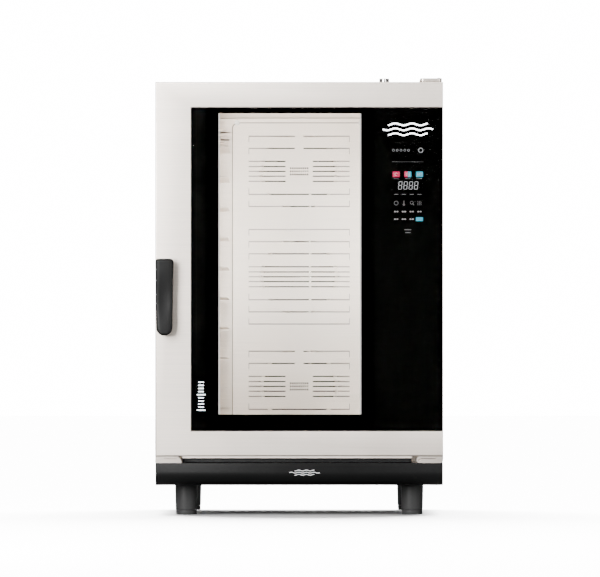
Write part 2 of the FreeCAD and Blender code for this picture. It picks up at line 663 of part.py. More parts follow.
def heating_element(fan):
    """Two rings of sheathed heating tube around the wheel, joined by thicker terminal pins."""
    level = "fan_%s_height" % fan
    back = "(fan_back - 6)"
    pieces = []
    for index in range(2):
        ring = doc.addObject("Part::Torus", "Ring")
        ring.Placement = Placement(Vector(), TURNS["y"].multiply(Rotation(Vector(0, 0, 1), 45)))
        bind(ring, "Radius1", "heater_ring")
        bind(ring, "Radius2", "heater_tube")
        bind(ring, ".Placement.Base.y", "%s - %d * heater_pitch" % (back, index))
        bind(ring, ".Placement.Base.z", level)
        pieces.append(ring)
    pieces += heater_legs(fan, "%s - heater_pitch - heater_pin_radius" % back, "liner_back + heater_leg",
                          "heater_pin_radius")
    keep(fuse(pieces), "heating_element_" + fan)


# ---------------------------------------------------------------- racks
def between(sign, inner, outer):
    """Low and high across the oven for a piece on one side of it."""
    return (inner, outer) if sign > 0 else ("-(%s)" % outer, "-(%s)" % inner)


def tray_rack(side, sign):
    """Side rack: two flat posts with keyholes, and a welded ledge for each tray level."""
    wall = between(sign, "rack_face - rack_post_sheet", "rack_face")
    reach = between(sign, "rack_face - rack_post_sheet - ledge_width", "rack_face - rack_post_sheet")
    pieces = []
    for front, back in (("rack_y0", "post_y0"), ("post_y1", "rack_y1")):
        middle = "(%s + %s) / 2" % (front, back)
        keyhole = box(between(sign, "rack_face - rack_post_sheet - 1", "rack_face + 1"),
                      (middle + " - pin_radius - seat_gap", middle + " + pin_radius + seat_gap"),
                      ("rack_pin_z - pin_radius - rack_lift - seat_gap",
                       "rack_pin_z + pin_radius + seat_gap"))
        pieces.append(cut(box(wall, (front, back), ("rack_low", "rack_high")), [keyhole]))
    for index in range(count("level_count")):
        level = "cavity_floor + level_first + %d * level_pitch" % index
        pieces.append(box(reach, ("rack_y0", "rack_y1"), (level + " - ledge_sheet", level)))
    keep(group(pieces), "tray_rack_" + side)


def rack_pins():
    """Wall studs that the two racks hang on; a collar keeps each rack off the wall."""
    pins = []
    for sign in SIDES.values():
        for front, back in (("rack_y0", "post_y0"), ("post_y1", "rack_y1")):
            across = ("(%s + %s) / 2" % (front, back), "rack_pin_z")
            inner, wall = "rack_face - rack_post_sheet - 6", "cavity_half"
            collar = "rack_face + seat_gap"
            if sign > 0:
                ends, seat = (inner, wall), (collar, wall)
            else:
                ends, seat = ("-cavity_half", "-(%s)" % inner), ("-cavity_half", "-(%s)" % collar)
            pins.append(fuse([rod("x", across, "pin_radius", ends[0], ends[1]),
                              rod("x", across, "pin_radius + 4", seat[0], seat[1])]))
    keep(group(pins), "rack_pins")


# ---------------------------------------------------------------- exhaust
def exhaust_duct():
    """Duct from the chamber's ceiling to the chimney, an L seen from above."""
    def channel(shrink):
        run = box(("-port_side - duct_width / 2 + %s" % shrink, "-port_side + duct_width / 2 - %s" % shrink),
                  ("port_y - duct_width / 2 + %s" % shrink, "chimney_y + duct_width / 2 - %s" % shrink),
                  ("duct_low + %s" % shrink, "duct_high - %s" % shrink))
        turn = box(("-port_side - duct_width / 2 + %s" % shrink, "chimney_side + duct_width / 2 - %s" % shrink),
                   ("chimney_y - duct_width / 2 + %s" % shrink, "chimney_y + duct_width / 2 - %s" % shrink),
                   ("duct_low + %s" % shrink, "duct_high - %s" % shrink))
        return fuse([run, turn])
    neck = rod("z", ("-port_side", "port_y"), "port_radius + duct_sheet",
               "cavity_ceiling + liner_sheet", "duct_low + duct_sheet")
    hollow = rod("z", ("-port_side", "port_y"), "port_radius", "cavity_ceiling", "duct_low + 5")
    out = rod("z", ("chimney_side", "chimney_y"), "chimney_radius - chimney_wall",
              "duct_high - 5", "duct_high + 5")
    keep(cut(fuse([channel("0"), neck]), [channel("duct_sheet"), hollow, out]), "exhaust_duct")


def exhaust_chimney():
    """Steam outlet pipe through the roof, with two bearing holes for the flap."""
    across = ("chimney_side", "chimney_y")
    shoulder = "chimney_top - chimney_spigot"
    pipe = fuse([rod("z", across, "chimney_sleeve", "duct_high", shoulder),
                 rod("z", across, "chimney_radius", "duct_high", "chimney_top")])
    flue = rod("z", across, "chimney_radius - chimney_wall", "duct_high - 1", "chimney_top + 1")
    bearing = rod("x", ("chimney_y", "flap_z"), "flap_pin + running_gap",
                  "chimney_side - chimney_sleeve - 1", "chimney_side + chimney_sleeve + 1")
    keep(cut(pipe, [flue, bearing]), "exhaust_chimney")


def exhaust_flap():
    """Damper disc on its spindle, closed when it lies flat."""
    disc = rod("z", ("chimney_side", "chimney_y"), "chimney_radius - chimney_wall - flap_gap",
               "flap_z - flap_sheet / 2", "flap_z + flap_sheet / 2")
    spindle = rod("x", ("chimney_y", "flap_z"), "flap_pin", "chimney_side - chimney_radius - 4",
                  "chimney_side + chimney_radius + 4")
    keep(fuse([disc, spindle]), "exhaust_flap")


# ---------------------------------------------------------------- water, steam and drain
def steam_injector():
    """Water pipe that feeds a nozzle in front of each fan hub."""
    side = "injector_side"
    depth = "inlet_front + guard_sheet + injector_radius + 4"
    level = "(fan_low_height + fan_mid_height) / 2"
    pieces = [rod("z", (side, depth), "injector_radius", "fan_low_height - 10", "fan_high_height + 10"),
              rod("x", (depth, level), "injector_radius", side, "injector_exit"),
              rod("y", ("injector_exit", level), "injector_radius", depth, "wool_back + 20")]
    for fan in FANS:
        pieces.append(rod("x", (depth, "fan_%s_height" % fan), "injector_radius - 1", "4", side))
    keep(fuse(pieces), "steam_injector")


def temperature_probe():
    """Chamber probe through the right wall."""
    across = ("port_y", "cavity_ceiling - probe_drop")
    keep(fuse([rod("x", across, "probe_radius", "cavity_half - 26", "wool_half + 14"),
               rod("x", across, "probe_radius + 4", "wool_half", "wool_half + 10")]),
         "temperature_probe")


def drain_strainer():
    """Perforated cap over the floor drain."""
    disc = rod("z", ("0", "drain_y"), "strainer_radius", "cavity_floor", "cavity_floor + strainer_sheet")
    holes = [rod("z", ("%d * 8" % column, "drain_y + %d * 8" % row), "2.2", "cavity_floor - 1",
                 "cavity_floor + 5") for column in range(-2, 3) for row in range(-2, 3)]
    keep(cut(disc, [group(holes)]), "drain_strainer")


def drain_pipe():
    """Drain elbow from the chamber's floor to the outlet behind the oven."""
    bore = "drain_radius - drain_wall"
    bead = "casing_back + 1"
    down = rod("z", ("0", "drain_y"), "pipe_radius", "drain_level", "cavity_floor")
    along = rod("y", ("0", "drain_level"), "pipe_radius", "drain_y", bead)
    stop = rod("y", ("0", "drain_level"), "drain_radius + drain_bead", bead, bead + " + drain_bead")
    spigot = rod("y", ("0", "drain_level"), "drain_radius", bead + " + drain_bead", "outlet_end")
    elbow = doc.addObject("Part::Sphere", "Elbow")
    inner = doc.addObject("Part::Sphere", "ElbowBore")
    for ball, radius in ((elbow, "pipe_radius"), (inner, bore)):
        bind(ball, "Radius", radius)
        bind(ball, ".Placement.Base.y", "drain_y")
        bind(ball, ".Placement.Base.z", "drain_level")
    hollow = [rod("z", ("0", "drain_y"), bore, "drain_level", "cavity_floor + 1"),
              rod("y", ("0", "drain_level"), bore, "drain_y", "outlet_end + 1"), inner]
    keep(cut(fuse([down, along, elbow, stop, spigot]), hollow), "drain_pipe")


def water_valve():
    """Double solenoid valve; each inlet has a collar outside the back sheet and then a thread."""
    wall = "casing_back - sheet"
    pieces = [box(("-valve_side - valve_edge", "-valve_side + valve_pitch + valve_edge"),
                  (wall + " - valve_depth", wall),
                  ("valve_level - valve_edge", "valve_level + valve_edge"))]
    for index in range(2):
        across = "-valve_side + %d * valve_pitch" % index
        place = (across, "valve_level")
        collar = "casing_back + inlet_collar"
        pieces += [rod("y", place, "inlet_stub", wall + " - 2", collar),
                   rod("y", place, "inlet_thread + inlet_collar", "casing_back", collar),
                   rod("y", place, "inlet_thread", collar, "casing_back + inlet_length"),
                   rod("z", (across, wall + " - coil_back"), "coil_radius",
                       "valve_level + valve_edge - 4", "valve_level + coil_height")]
    keep(fuse(pieces), "water_valve")


# ---------------------------------------------------------------- electrical
def cable_gland():
    """Supply cable gland: a sleeve through the back sheet with a nut on each side."""
    across = ("gland_side", "gland_level")
    wall = "casing_back - sheet"
    pieces = [rod("y", across, "gland_radius - gland_nut_wall", wall + " - gland_nut - 1",
                  "casing_back + gland_nut_wall"),
              rod("y", across, "gland_radius", "casing_back", "casing_back + gland_length"),
              rod("y", across, "gland_radius", wall + " - gland_nut", wall)]
    bore = rod("y", across, "gland_bore", wall + " - gland_nut - 2", "casing_back + gland_length + 1")
    keep(cut(fuse(pieces), [bore]), "cable_gland")


def terminal_block():
    """Five supply terminals on the back sheet, over the gland."""
    wall = "casing_back - sheet"
    low = "gland_level + gland_radius + gland_nut"
    left = "gland_side - terminal_width + 20"
    base = box((left, left + " + terminal_width"), (wall + " - terminal_depth", wall),
               (low, low + " + terminal_height"))
    wells = []
    for index in range(5):
        start = "%s + terminal_wall + %d * terminal_pitch" % (left, index)
        wells.append(box((start, start + " + terminal_pitch - terminal_wall"),
                         (wall + " - terminal_depth - 1", wall + " - terminal_depth / 2"),
                         (low + " + terminal_wall", low + " + terminal_height - terminal_wall")))
    keep(cut(base, wells), "terminal_block")


def power_board():
    """Relay board on spacers on the right side sheet."""
    wall = "half - sheet"
    board = wall + " - spacer - board_sheet"
    pieces = [box((board, wall + " - spacer"), ("0", "power_length"), ("power_low", "power_high"))]
    for y in ("spacer", "power_length - spacer"):
        for z in ("power_low + spacer", "power_high - spacer"):
            pieces.append(rod("x", (y, z), "spacer_radius", wall + " - spacer - 1", wall))
    for index in range(4):
        y = "2 * spacer + %d * relay_pitch" % index
        relay, driver = "power_low + 30", "power_low + 140"
        pieces.append(box((wall + " - spacer - relay_depth", board + " + 1"), (y, y + " + relay_width"),
                          (relay, relay + " + relay_height")))
        pieces.append(box((wall + " - spacer - driver_depth", board + " + 1"), (y, y + " + driver_height"),
                          (driver, driver + " + driver_height")))
    keep(fuse(pieces), "power_board")


def cooling_fan():
    """Square fan on the back sheet that cools the electrical compartment."""
    side, level = "cooler_side", "cooler_level"
    front, back = "cooler_front", "casing_back - sheet"
    half = "cooler_size / 2"
    frame = box(("%s - %s" % (side, half), "%s + %s" % (side, half)), (front, back),
                ("%s - %s" % (level, half), "%s + %s" % (level, half)))
    hole = rod("y", (side, level), "cooler_radius + cooler_hole_gap", front + " - 1", back + " + 1")
    reach = "cooler_radius + cooler_hole_gap + 1"
    arms = [box(("%s - %s" % (side, reach), "%s + %s" % (side, reach)),
                (back + " - cooler_arm_sheet", back),
                (level + " - cooler_arm / 2", level + " + cooler_arm / 2")),
            rod("y", (side, level), "cooler_hub", back + " - cooler_seat", back)]
    keep(fuse([cut(frame, [hole])] + arms), "cooling_fan_housing")
    pieces = [rod("y", (side, level), "cooler_hub", front + " + 3", back + " - cooler_seat - seat_gap")]
    root = "(cooler_hub - cooler_blade_root)"
    for index in range(count("cooler_blades")):
        blade = doc.addObject("Part::Box", "Blade")
        angle = 360 / count("cooler_blades") * (index + 0.25)
        blade.Placement = Placement(Vector(), Rotation(Vector(0, 1, 0), angle).multiply(
            Rotation(Vector(1, 0, 0), value("cooler_blade_tilt"))))
        bind(blade, "Length", "cooler_radius - 3 - " + root)
        bind(blade, "Width", "cooler_blade_width")
        bind(blade, "Height", "cooler_blade_sheet")
        bind(blade, ".Placement.Base.x", "%s + %s * cos(%.4f)" % (side, root, angle))
        bind(blade, ".Placement.Base.y", front + " + 10")
        bind(blade, ".Placement.Base.z", "%s - %s * sin(%.4f)" % (level, root, angle))
        pieces.append(blade)
    keep(fuse(pieces), "cooling_fan_rotor")


# ---------------------------------------------------------------- door
def door_rectangle(gap):
    return rectangle(("-half + %s" % gap, "half - %s" % gap),
                     ("door_bottom + %s" % gap, "door_top - %s" % gap))


def door_skin():
    """Folded steel door tray; the glass lies in a recess that runs out on the right."""
    body = new_body("door_skin")
    extrude(body, "Pad", outline(body, "XZ", door_rectangle("0"), "-door_back + 2"), "door_thickness - 2")
    front, left = value("door_front"), value("-half")
    round_edges(body, "4", lambda p, d: abs(p.y - front) < 0.01 and (abs(p.x - left) < 0.01
                                                                    or abs(d.x) > 0.9))
    extrude(body, "Pocket", outline(body, "XZ", door_rectangle("door_sheet"), "-door_back + 2"),
            "door_thickness - 2 - door_sheet", True)
    extrude(body, "Pocket", outline(body, "XZ", rectangle(
        ("glass_x - glass_rim", "half + 1"),
        ("door_bottom + glass_bottom - glass_rim", "door_top - glass_top + glass_rim")),
        "-door_front - glass_sheet - glass_rim"), "glass_sheet + glass_rim + 1", True)
    base = doc.getObject(body.Name)
    subparts.remove(base)
    base.Label = "DoorTray"
    holes = [rod("z", ("hinge_x", "hinge_y"), "bush_radius + seat_gap", "door_bottom - 1",
                 "door_bottom + door_sheet + 1"),
             rod("z", ("hinge_x", "hinge_y"), "bush_radius + seat_gap", "door_top - door_sheet - 1",
                 "door_top + 1"),
             rod("y", ("pivot_x", "pivot_z"), "latch_radius + seat_gap", "door_front - 1",
                 "door_front + door_sheet + 1")]
    keep(cut(base, holes), "door_skin")


def door_inner_frame():
    """Inner door panel: a back plate with the pane's recess, and a sleeve round the window."""
    body = new_body("door_inner_panel")
    back = "-door_back"
    extrude(body, "Pad", outline(body, "XZ", door_rectangle("(door_sheet + seat_gap)"), back),
            "inner_frame_depth")
    wide = rectangle(("-window_left - sleeve_wall", "window_right + sleeve_wall"),
                     ("window_low - sleeve_wall", "window_high + sleeve_wall"))
    extrude(body, "Pad", outline(body, "XZ", wide, back + " + inner_frame_depth - 1"),
            "door_thickness - inner_frame_depth - glass_sheet - glass_rim + 1 - seat_gap")
    subparts.remove(body)
    pane = box(("-pane_half - seat_gap", "pane_half + seat_gap"),
               ("door_back - pane_sheet - seat_gap", "door_back + 1"),
               ("pane_low - seat_gap", "pane_high + seat_gap"))
    window = box(("-window_left", "window_right"), ("door_front", "door_back"),
                 ("window_low", "window_high"))
    shaft = rod("y", ("pivot_x", "pivot_z"), "latch_radius + seat_gap",
                "door_back - inner_frame_depth - 1", "door_back + 1")
    keep(cut(body, [pane, window, shaft]), "door_inner_frame")


def door_glass():
    """Outer printed glass, flush with the door's right side, and the plain inner pane."""
    keep(box(("glass_x", "half"), ("door_front", "door_front + glass_sheet"),
             ("door_bottom + glass_bottom", "door_top - glass_top")), "door_outer_glass")
    keep(box(("-pane_half", "pane_half"), ("door_back - pane_sheet", "door_back"),
             ("pane_low", "pane_high")), "door_inner_glass")


def led_bars():
    """Light bars at the left and right side of the window, between the two panes."""
    depth = ("door_front + glass_sheet + 4", "door_front + glass_sheet + 4 + led_depth")
    tall = ("window_low + 8", "window_high - 8")
    keep(group([box(("-window_left", "-window_left + led_width"), depth, tall),
                box(("window_right - led_width", "window_right"), depth, tall)]), "led_bars")


def control_board():
    """Touch and display board behind the glass, on the right of the window."""
    front = "door_front + glass_sheet"
    plate = box(("board_left", "board_right"), (front + " + 0.3", front + " + 3"),
                ("board_low", "board_high"))
    chips = [box(("board_left + 20 + %d * 44" % column, "board_left + 48 + %d * 44" % column),
                 (front + " + 2", front + " + board_depth"),
                 ("board_high - 90 - %d * 120" % row, "board_high - 50 - %d * 120" % row))
             for column in range(3) for row in range(4)]
    keep(fuse([plate] + chips), "control_board")


def pane_clips():
    """Four clips that hold the inner pane in the door."""
    clips = []
    for sign in SIDES.values():
        for level in ("pane_low + 120", "pane_high - 120"):
            near_edge, far_edge = "%d * (pane_half - clip_size)" % sign, "%d * (pane_half + clip_size)" % sign
            across = (far_edge, near_edge) if sign < 0 else (near_edge, far_edge)
            clips.append(box(across, ("door_back", "door_back + clip_sheet"),
                             (level + " - clip_size", level + " + clip_size")))
    keep(group(clips), "pane_clips")


def door_drip_tray():
    """Gutter under the door that catches the water from the inner pane."""
    x = ("-half + drip_side + 3", "hinge_x - drip_end")
    low = "door_bottom - drip_height"
    outer = box(x, ("door_front + plinth_setback", "door_back"), (low, "door_bottom"))
    groove = box(("%s + drip_sheet" % x[0], "%s - drip_sheet" % x[1]),
                 ("door_front + 8", "door_back - drip_sheet"), (low + " + drip_sheet", "door_bottom + 1"))
    keep(cut(outer, [groove]), "door_drip_tray")


def hinge_bushes():
    """Flanged bushes at the door's foot and head, which turn on the hinge pins."""
    across = ("hinge_x", "hinge_y")
    bore = "hinge_pin_radius + running_gap"
    low = fuse([tube("z", across, "bush_radius", bore, "door_bottom", "door_bottom + bush_length"),
                tube("z", across, "bush_flange", bore, "door_bottom + door_sheet",
                     "door_bottom + door_sheet + 3")])
    high = fuse([tube("z", across, "bush_radius", bore, "door_top - bush_length", "door_top"),
                 tube("z", across, "bush_flange", bore, "door_top - door_sheet - 3",
                      "door_top - door_sheet")])
    keep(group([low, high]), "hinge_bushes")


# ---------------------------------------------------------------- hinge plates and latch
def hinge_plate_bottom():
    """Hinge bracket on the plinth, with the pin that carries the door."""
    top = "door_bottom - door_lift"
    plate = box(("half - hinge_plate_width", "half"), ("door_front + plinth_setback", "frame_front"),
                ("plinth_top", top))
    pin = rod("z", ("hinge_x", "hinge_y"), "hinge_pin_radius", "plinth_top", "door_bottom + bush_length - 4")
    socket = rod("y", ("half - hinge_plate_width + 15", "(plinth_top + %s) / 2" % top), "3",
                 "door_front", "door_front + 8")
    keep(cut(fuse([plate, pin]), [socket]), "hinge_plate_bottom")


def hinge_bracket_top():
    """Hinge bracket on the roof, reaching over the door's head with its pin."""
    x1 = "half - 3"
    plate = box(("%s - top_bracket_width" % x1, x1), ("door_front + 8", "frame_front + top_bracket_seat"),
                ("oven_height", "oven_height + top_bracket_height"))
    pin = rod("z", ("hinge_x", "hinge_y"), "hinge_pin_radius", "door_top - bush_length + 4",
              "oven_height + top_bracket_height")
    keep(fuse([plate, pin]), "hinge_bracket_top")


def support_plate():
    """Run-up plate under the door's free corner, with a sloped lead-in edge."""
    top = "door_bottom - door_lift"
    body = new_body("support_plate")
    x0, x1 = "-half", "-half + support_plate_width"
    sketch = outline(body, "XZ", [(x0, "plinth_top"), (x1, "plinth_top"), (x1, top + " - support_ramp"),
                                  (x1 + " - support_ramp", top), (x0, top)], "-frame_front")
    extrude(body, "Pad", sketch, "door_thickness + door_gap - plinth_setback")


def handle():
    """Lever with rounded ends and a tapered grip, on a boss fixed to the door."""
    boss = cut(rod("y", ("pivot_x", "pivot_z"), "boss_radius", "door_front - handle_stand_off + seat_gap",
                   "door_front"),
               [rod("y", ("pivot_x", "pivot_z"), "latch_radius + seat_gap",
                    "door_front - handle_stand_off", "door_front + 1")])
    keep(boss, "handle_boss")
    body = new_body("handle_lever")
    foot = "(handle_width - handle_foot_width) / 2"
    sketch = outline(body, "XZ", [
        ("pivot_x - handle_width / 2", "handle_high"),
        ("pivot_x - handle_width / 2 + %s" % foot, "handle_low"),
        ("pivot_x + handle_width / 2 - %s" % foot, "handle_low"),
        ("pivot_x + handle_width / 2", "handle_high")], "handle_stand_off - door_front")
    extrude(body, "Pad", sketch, "handle_reach - handle_stand_off")
    low = value("handle_low")
    high = value("handle_high")
    round_edges(body, "handle_foot_width / 2 - 1",
                lambda p, d: abs(d.y) > 0.9 and abs(p.z - low) < 0.01)
    round_edges(body, "handle_round + 2", lambda p, d: abs(d.y) > 0.9 and abs(p.z - high) < 0.01)


def latch():
    """Shaft through the door and the hook plate behind it."""
    middle = ("pivot_x", "pivot_z")
    front, back = "door_back + latch_play", "door_back + latch_play + latch_sheet"
    keep(rod("y", middle, "latch_radius", "door_front - handle_stand_off", back), "latch_shaft")
    plate = fuse([rod("y", middle, "latch_radius + latch_eye", front, back),
                  box(("pivot_x - latch_half_width", "pivot_x + latch_half_width"), (front, back),
                      ("pivot_z - latch_nose", "pivot_z"))])
    hole = rod("y", middle, "latch_radius + running_gap", "door_back", "frame_front + latch_sheet")
    keep(cut(plate, [hole]), "latch_hook")


# ---------------------------------------------------------------- build
base_frame()
plinth_panel()
feet()
for side_name, side_sign in SIDES.items():
    side_panel(side_name, side_sign)
    tray_rack(side_name, side_sign)
top_panel()
rear_panel()
front_frame()
cavity_liner()
insulation_wool()
door_gasket()
fan_baffle()
baffle_screws()
inlet_plate()
motor_plate()
for fan_name in FANS:
    fan_wheel(fan_name)
    fan_shaft(fan_name)
    fan_motor(fan_name)
    heating_element(fan_name)
rack_pins()
exhaust_duct()
exhaust_chimney()
exhaust_flap()
steam_injector()
temperature_probe()
drain_strainer()
drain_pipe()
water_valve()
cable_gland()
terminal_block()
power_board()
cooling_fan()
door_skin()
door_inner_frame()
door_glass()
led_bars()
control_board()
pane_clips()
door_drip_tray()
hinge_bushes()
hinge_plate_bottom()
hinge_bracket_top()
support_plate()
handle()
latch()
doc.recompute()

faults = [item.Label for item in doc.Objects if {"Invalid", "Error"} & set(item.State)]
faults += [item.Label for item in subparts if item.Shape.isNull() or not item.Shape.isValid()]
if faults:
    raise RuntimeError("failed objects: " + ", ".join(sorted(set(faults))))

os.makedirs("parts", exist_ok=True)
for item in subparts:
    item.Shape.exportStep("parts/%s.step" % item.Label)
print(len(subparts), "sub-parts written")
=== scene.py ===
"""Combi steamer oven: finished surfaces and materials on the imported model's frame.

Laid out as a Blender add-on and run as a script. Metres; X right seen from the front,
Y towards the back, Z up.
"""
import bmesh
import bpy
import math
import numpy as np
from bpy.props import FloatProperty, FloatVectorProperty, IntProperty, PointerProperty
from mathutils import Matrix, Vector


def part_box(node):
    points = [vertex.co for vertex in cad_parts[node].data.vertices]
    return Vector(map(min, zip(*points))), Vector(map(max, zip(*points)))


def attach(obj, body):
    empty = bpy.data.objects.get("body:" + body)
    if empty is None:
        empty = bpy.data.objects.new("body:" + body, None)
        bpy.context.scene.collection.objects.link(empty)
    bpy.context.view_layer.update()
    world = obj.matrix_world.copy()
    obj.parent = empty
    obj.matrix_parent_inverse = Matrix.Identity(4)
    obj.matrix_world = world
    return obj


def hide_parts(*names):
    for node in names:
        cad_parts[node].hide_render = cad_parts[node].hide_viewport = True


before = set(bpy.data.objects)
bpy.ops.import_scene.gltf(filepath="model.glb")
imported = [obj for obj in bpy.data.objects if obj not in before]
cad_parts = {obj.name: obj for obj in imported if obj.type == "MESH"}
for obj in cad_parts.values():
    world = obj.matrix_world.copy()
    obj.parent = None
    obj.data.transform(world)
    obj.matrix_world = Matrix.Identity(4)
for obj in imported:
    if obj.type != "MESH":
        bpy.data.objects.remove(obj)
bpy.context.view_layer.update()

bl_info = {
    "name": "Combi steamer oven",
    "version": (1, 0, 0),
    "blender": (4, 5, 0),
    "location": "3D View > Sidebar > Oven",
    "description": "Builds the oven's finished surfaces on its packed frame",
    "category": "Add Mesh",
}

MM = 0.001


# ------------------------------------------------------------------ settings
class OvenShape(bpy.types.PropertyGroup):
    """Sizes of the finished pieces that the frame doesn't give."""
    edge_round: FloatProperty(name="Edge round", description="Rounding of the door's outer edges",
                              default=0.0040, unit="LENGTH")
    hem_round: FloatProperty(name="Hem round", description="Rounding of the sheet at the glass",
                             default=0.0012, unit="LENGTH")
    glass_edge: FloatProperty(name="Glass edge", description="Rounding of the polished glass edge",
                              default=0.0012, unit="LENGTH")
    sheet: FloatProperty(name="Sheet", description="Thickness of the door's steel sheet",
                         default=0.0015, unit="LENGTH")
    window_left: FloatProperty(name="Window left", description="Left edge of the clear window",
                               default=-0.2130, unit="LENGTH")
    window_right: FloatProperty(name="Window right", description="Right edge of the clear window",
                                default=0.1635, unit="LENGTH")
    window_low: FloatProperty(name="Window foot", description="Lower edge of the clear window",
                              default=0.2663, unit="LENGTH")
    window_high: FloatProperty(name="Window head", description="Upper edge of the clear window",
                               default=1.0611, unit="LENGTH")
    print_border: FloatProperty(name="Print border", description="Width of the black inner border",
                                default=0.0350, unit="LENGTH")
    digit_height: FloatProperty(name="Digit height", description="Height of the display digits",
                                default=0.0200, unit="LENGTH")
    panel_centre: FloatProperty(name="Panel centre", description="Middle of the touch controls, along X",
                                default=0.2868, unit="LENGTH")
    panel_column: FloatProperty(name="Panel column", description="Distance between control columns",
                                default=0.0205, unit="LENGTH")
    display_height: FloatProperty(name="Display height", description="Middle of the digits above the floor",
                                  default=0.8707, unit="LENGTH")
    symbol_height: FloatProperty(name="Symbol height", description="Lowest wave at the panel's head",
                                 default=1.0080, unit="LENGTH")
    scale_side: FloatProperty(name="Scale place", description="Middle of the level bars, along X",
                              default=-0.2590, unit="LENGTH")
    lever_foot: FloatProperty(name="Lever foot", description="Width of the lever at its foot",
                              default=0.0420, unit="LENGTH")
    lever_corner: FloatProperty(name="Lever corner", description="Corner radius at the lever's top",
                                default=0.0090, unit="LENGTH")
    lever_round: FloatProperty(name="Lever round", description="Rounding of the lever's face at its ends",
                               default=0.0070, unit="LENGTH")
    thumb_depth: FloatProperty(name="Thumb depth", description="Depth of the hollow for the thumb",
                               default=0.0030, unit="LENGTH")
    plinth_roll: FloatProperty(name="Plinth roll", description="Radius under the plinth's face",
                               default=0.0360, unit="LENGTH")
    foot_radius: FloatProperty(name="Foot radius", description="Radius of a foot sleeve",
                               default=0.0300, unit="LENGTH")
    foot_taper: FloatProperty(name="Foot taper", description="How much a sleeve narrows downwards",
                              default=0.0015, unit="LENGTH")
    guard_half: FloatProperty(name="Guard half", description="Half the width of the air guard's panel",
                              default=0.1820, unit="LENGTH")
    # painted shadow: width of the dark strip that stands for the shadow line round the air guard
    shadow_line_width: FloatProperty(name="Shadow line width", description="Width of the guard's shadow seam",
                              default=0.0022, unit="LENGTH")
    seal_width: FloatProperty(name="Seal width", description="Width of the door seal",
                              default=0.0160, unit="LENGTH")
    digits: IntProperty(name="Digits", description="Number of digits on the display", default=4)


class OvenFinish(bpy.types.PropertyGroup):
    """Colours of the finishes."""
    steel: FloatVectorProperty(name="Satin steel", description="Colour of the outer stainless sheet",
                               subtype="COLOR", default=(0.80, 0.72, 0.645))
    inner_steel: FloatVectorProperty(name="Chamber steel", description="Colour of the chamber sheet",
                                     subtype="COLOR", default=(0.82, 0.74, 0.67))
    print_black: FloatVectorProperty(name="Print", description="Colour of the glass print",
                                     subtype="COLOR", default=(0.0012, 0.0012, 0.0012))
    enamel: FloatVectorProperty(name="Enamel", description="Colour of the plinth",
                                subtype="COLOR", default=(0.005, 0.005, 0.005))
    grip: FloatVectorProperty(name="Grip", description="Colour of the lever",
                              subtype="COLOR", default=(0.005, 0.005, 0.005))
    key_red: FloatVectorProperty(name="Red key", description="Colour of the hot air key",
                                 subtype="COLOR", default=(1.0, 0.01, 0.12))
    key_cyan: FloatVectorProperty(name="Cyan key", description="Colour of the steam key",
                                  subtype="COLOR", default=(0.02, 0.58, 0.85))


class OvenStage(bpy.types.PropertyGroup):
    """Camera and light."""
    distance: FloatProperty(name="Distance", description="Camera to the door's face",
                            default=18.0, unit="LENGTH")
    eye_height: FloatProperty(name="Eye height", description="Camera above the floor",
                              default=0.34, unit="LENGTH")
    view_width: FloatProperty(name="View width", description="Width seen at the door's face",
                              default=1.5834, unit="LENGTH")
    backdrop: FloatProperty(name="Backdrop", description="Brightness of the backdrop as seen", default=20.0)
    room_light: FloatProperty(name="Room light", description="Brightness of the white room", default=3.4)
    room_tilt: FloatVectorProperty(name="Room tilt", description="Direction in which the room is brighter",
                                   default=(-0.35, 0.0, 0.15))
    flag_angle: FloatProperty(name="Flag angle", description="Half angle of the dark patch, in degrees",
                              default=7.0)
    left_power: FloatProperty(name="Left box", description="Power of the left soft box", default=600.0)
    right_power: FloatProperty(name="Right box", description="Power of the right soft box", default=130.0)
    top_power: FloatProperty(name="Top box", description="Power of the top soft box", default=100.0)
    floor_power: FloatProperty(name="Floor light", description="Strength of the light on the floor alone",
                               default=130.0)
    floor_bounce: FloatProperty(name="Floor bounce", description="Grey of the floor as it lights the oven",
                                default=0.02)
    chamber_power: FloatProperty(name="Chamber lamps", description="Power of each chamber lamp", default=5.5)
    aim_side: FloatProperty(name="Aim side", description="Picture centre along X",
                            default=0.0021, unit="LENGTH")
    aim_height: FloatProperty(name="Aim height", description="Picture centre above the floor",
                              default=0.5985, unit="LENGTH")


# ------------------------------------------------------------------ surfaces
def quads(rows, columns, wrap_rows=False, wrap_columns=False):
    """Faces of a grid: each joins a point with its neighbours along both parameters."""
    row = np.arange(rows if wrap_rows else rows - 1)
    column = np.arange(columns if wrap_columns else columns - 1)
    r, c = [item.ravel() for item in np.meshgrid(row, column, indexing="ij")]
    r2, c2 = (r + 1) % rows, (c + 1) % columns
    return np.stack([r * columns + c, r * columns + c2, r2 * columns + c2, r2 * columns + c], 1)


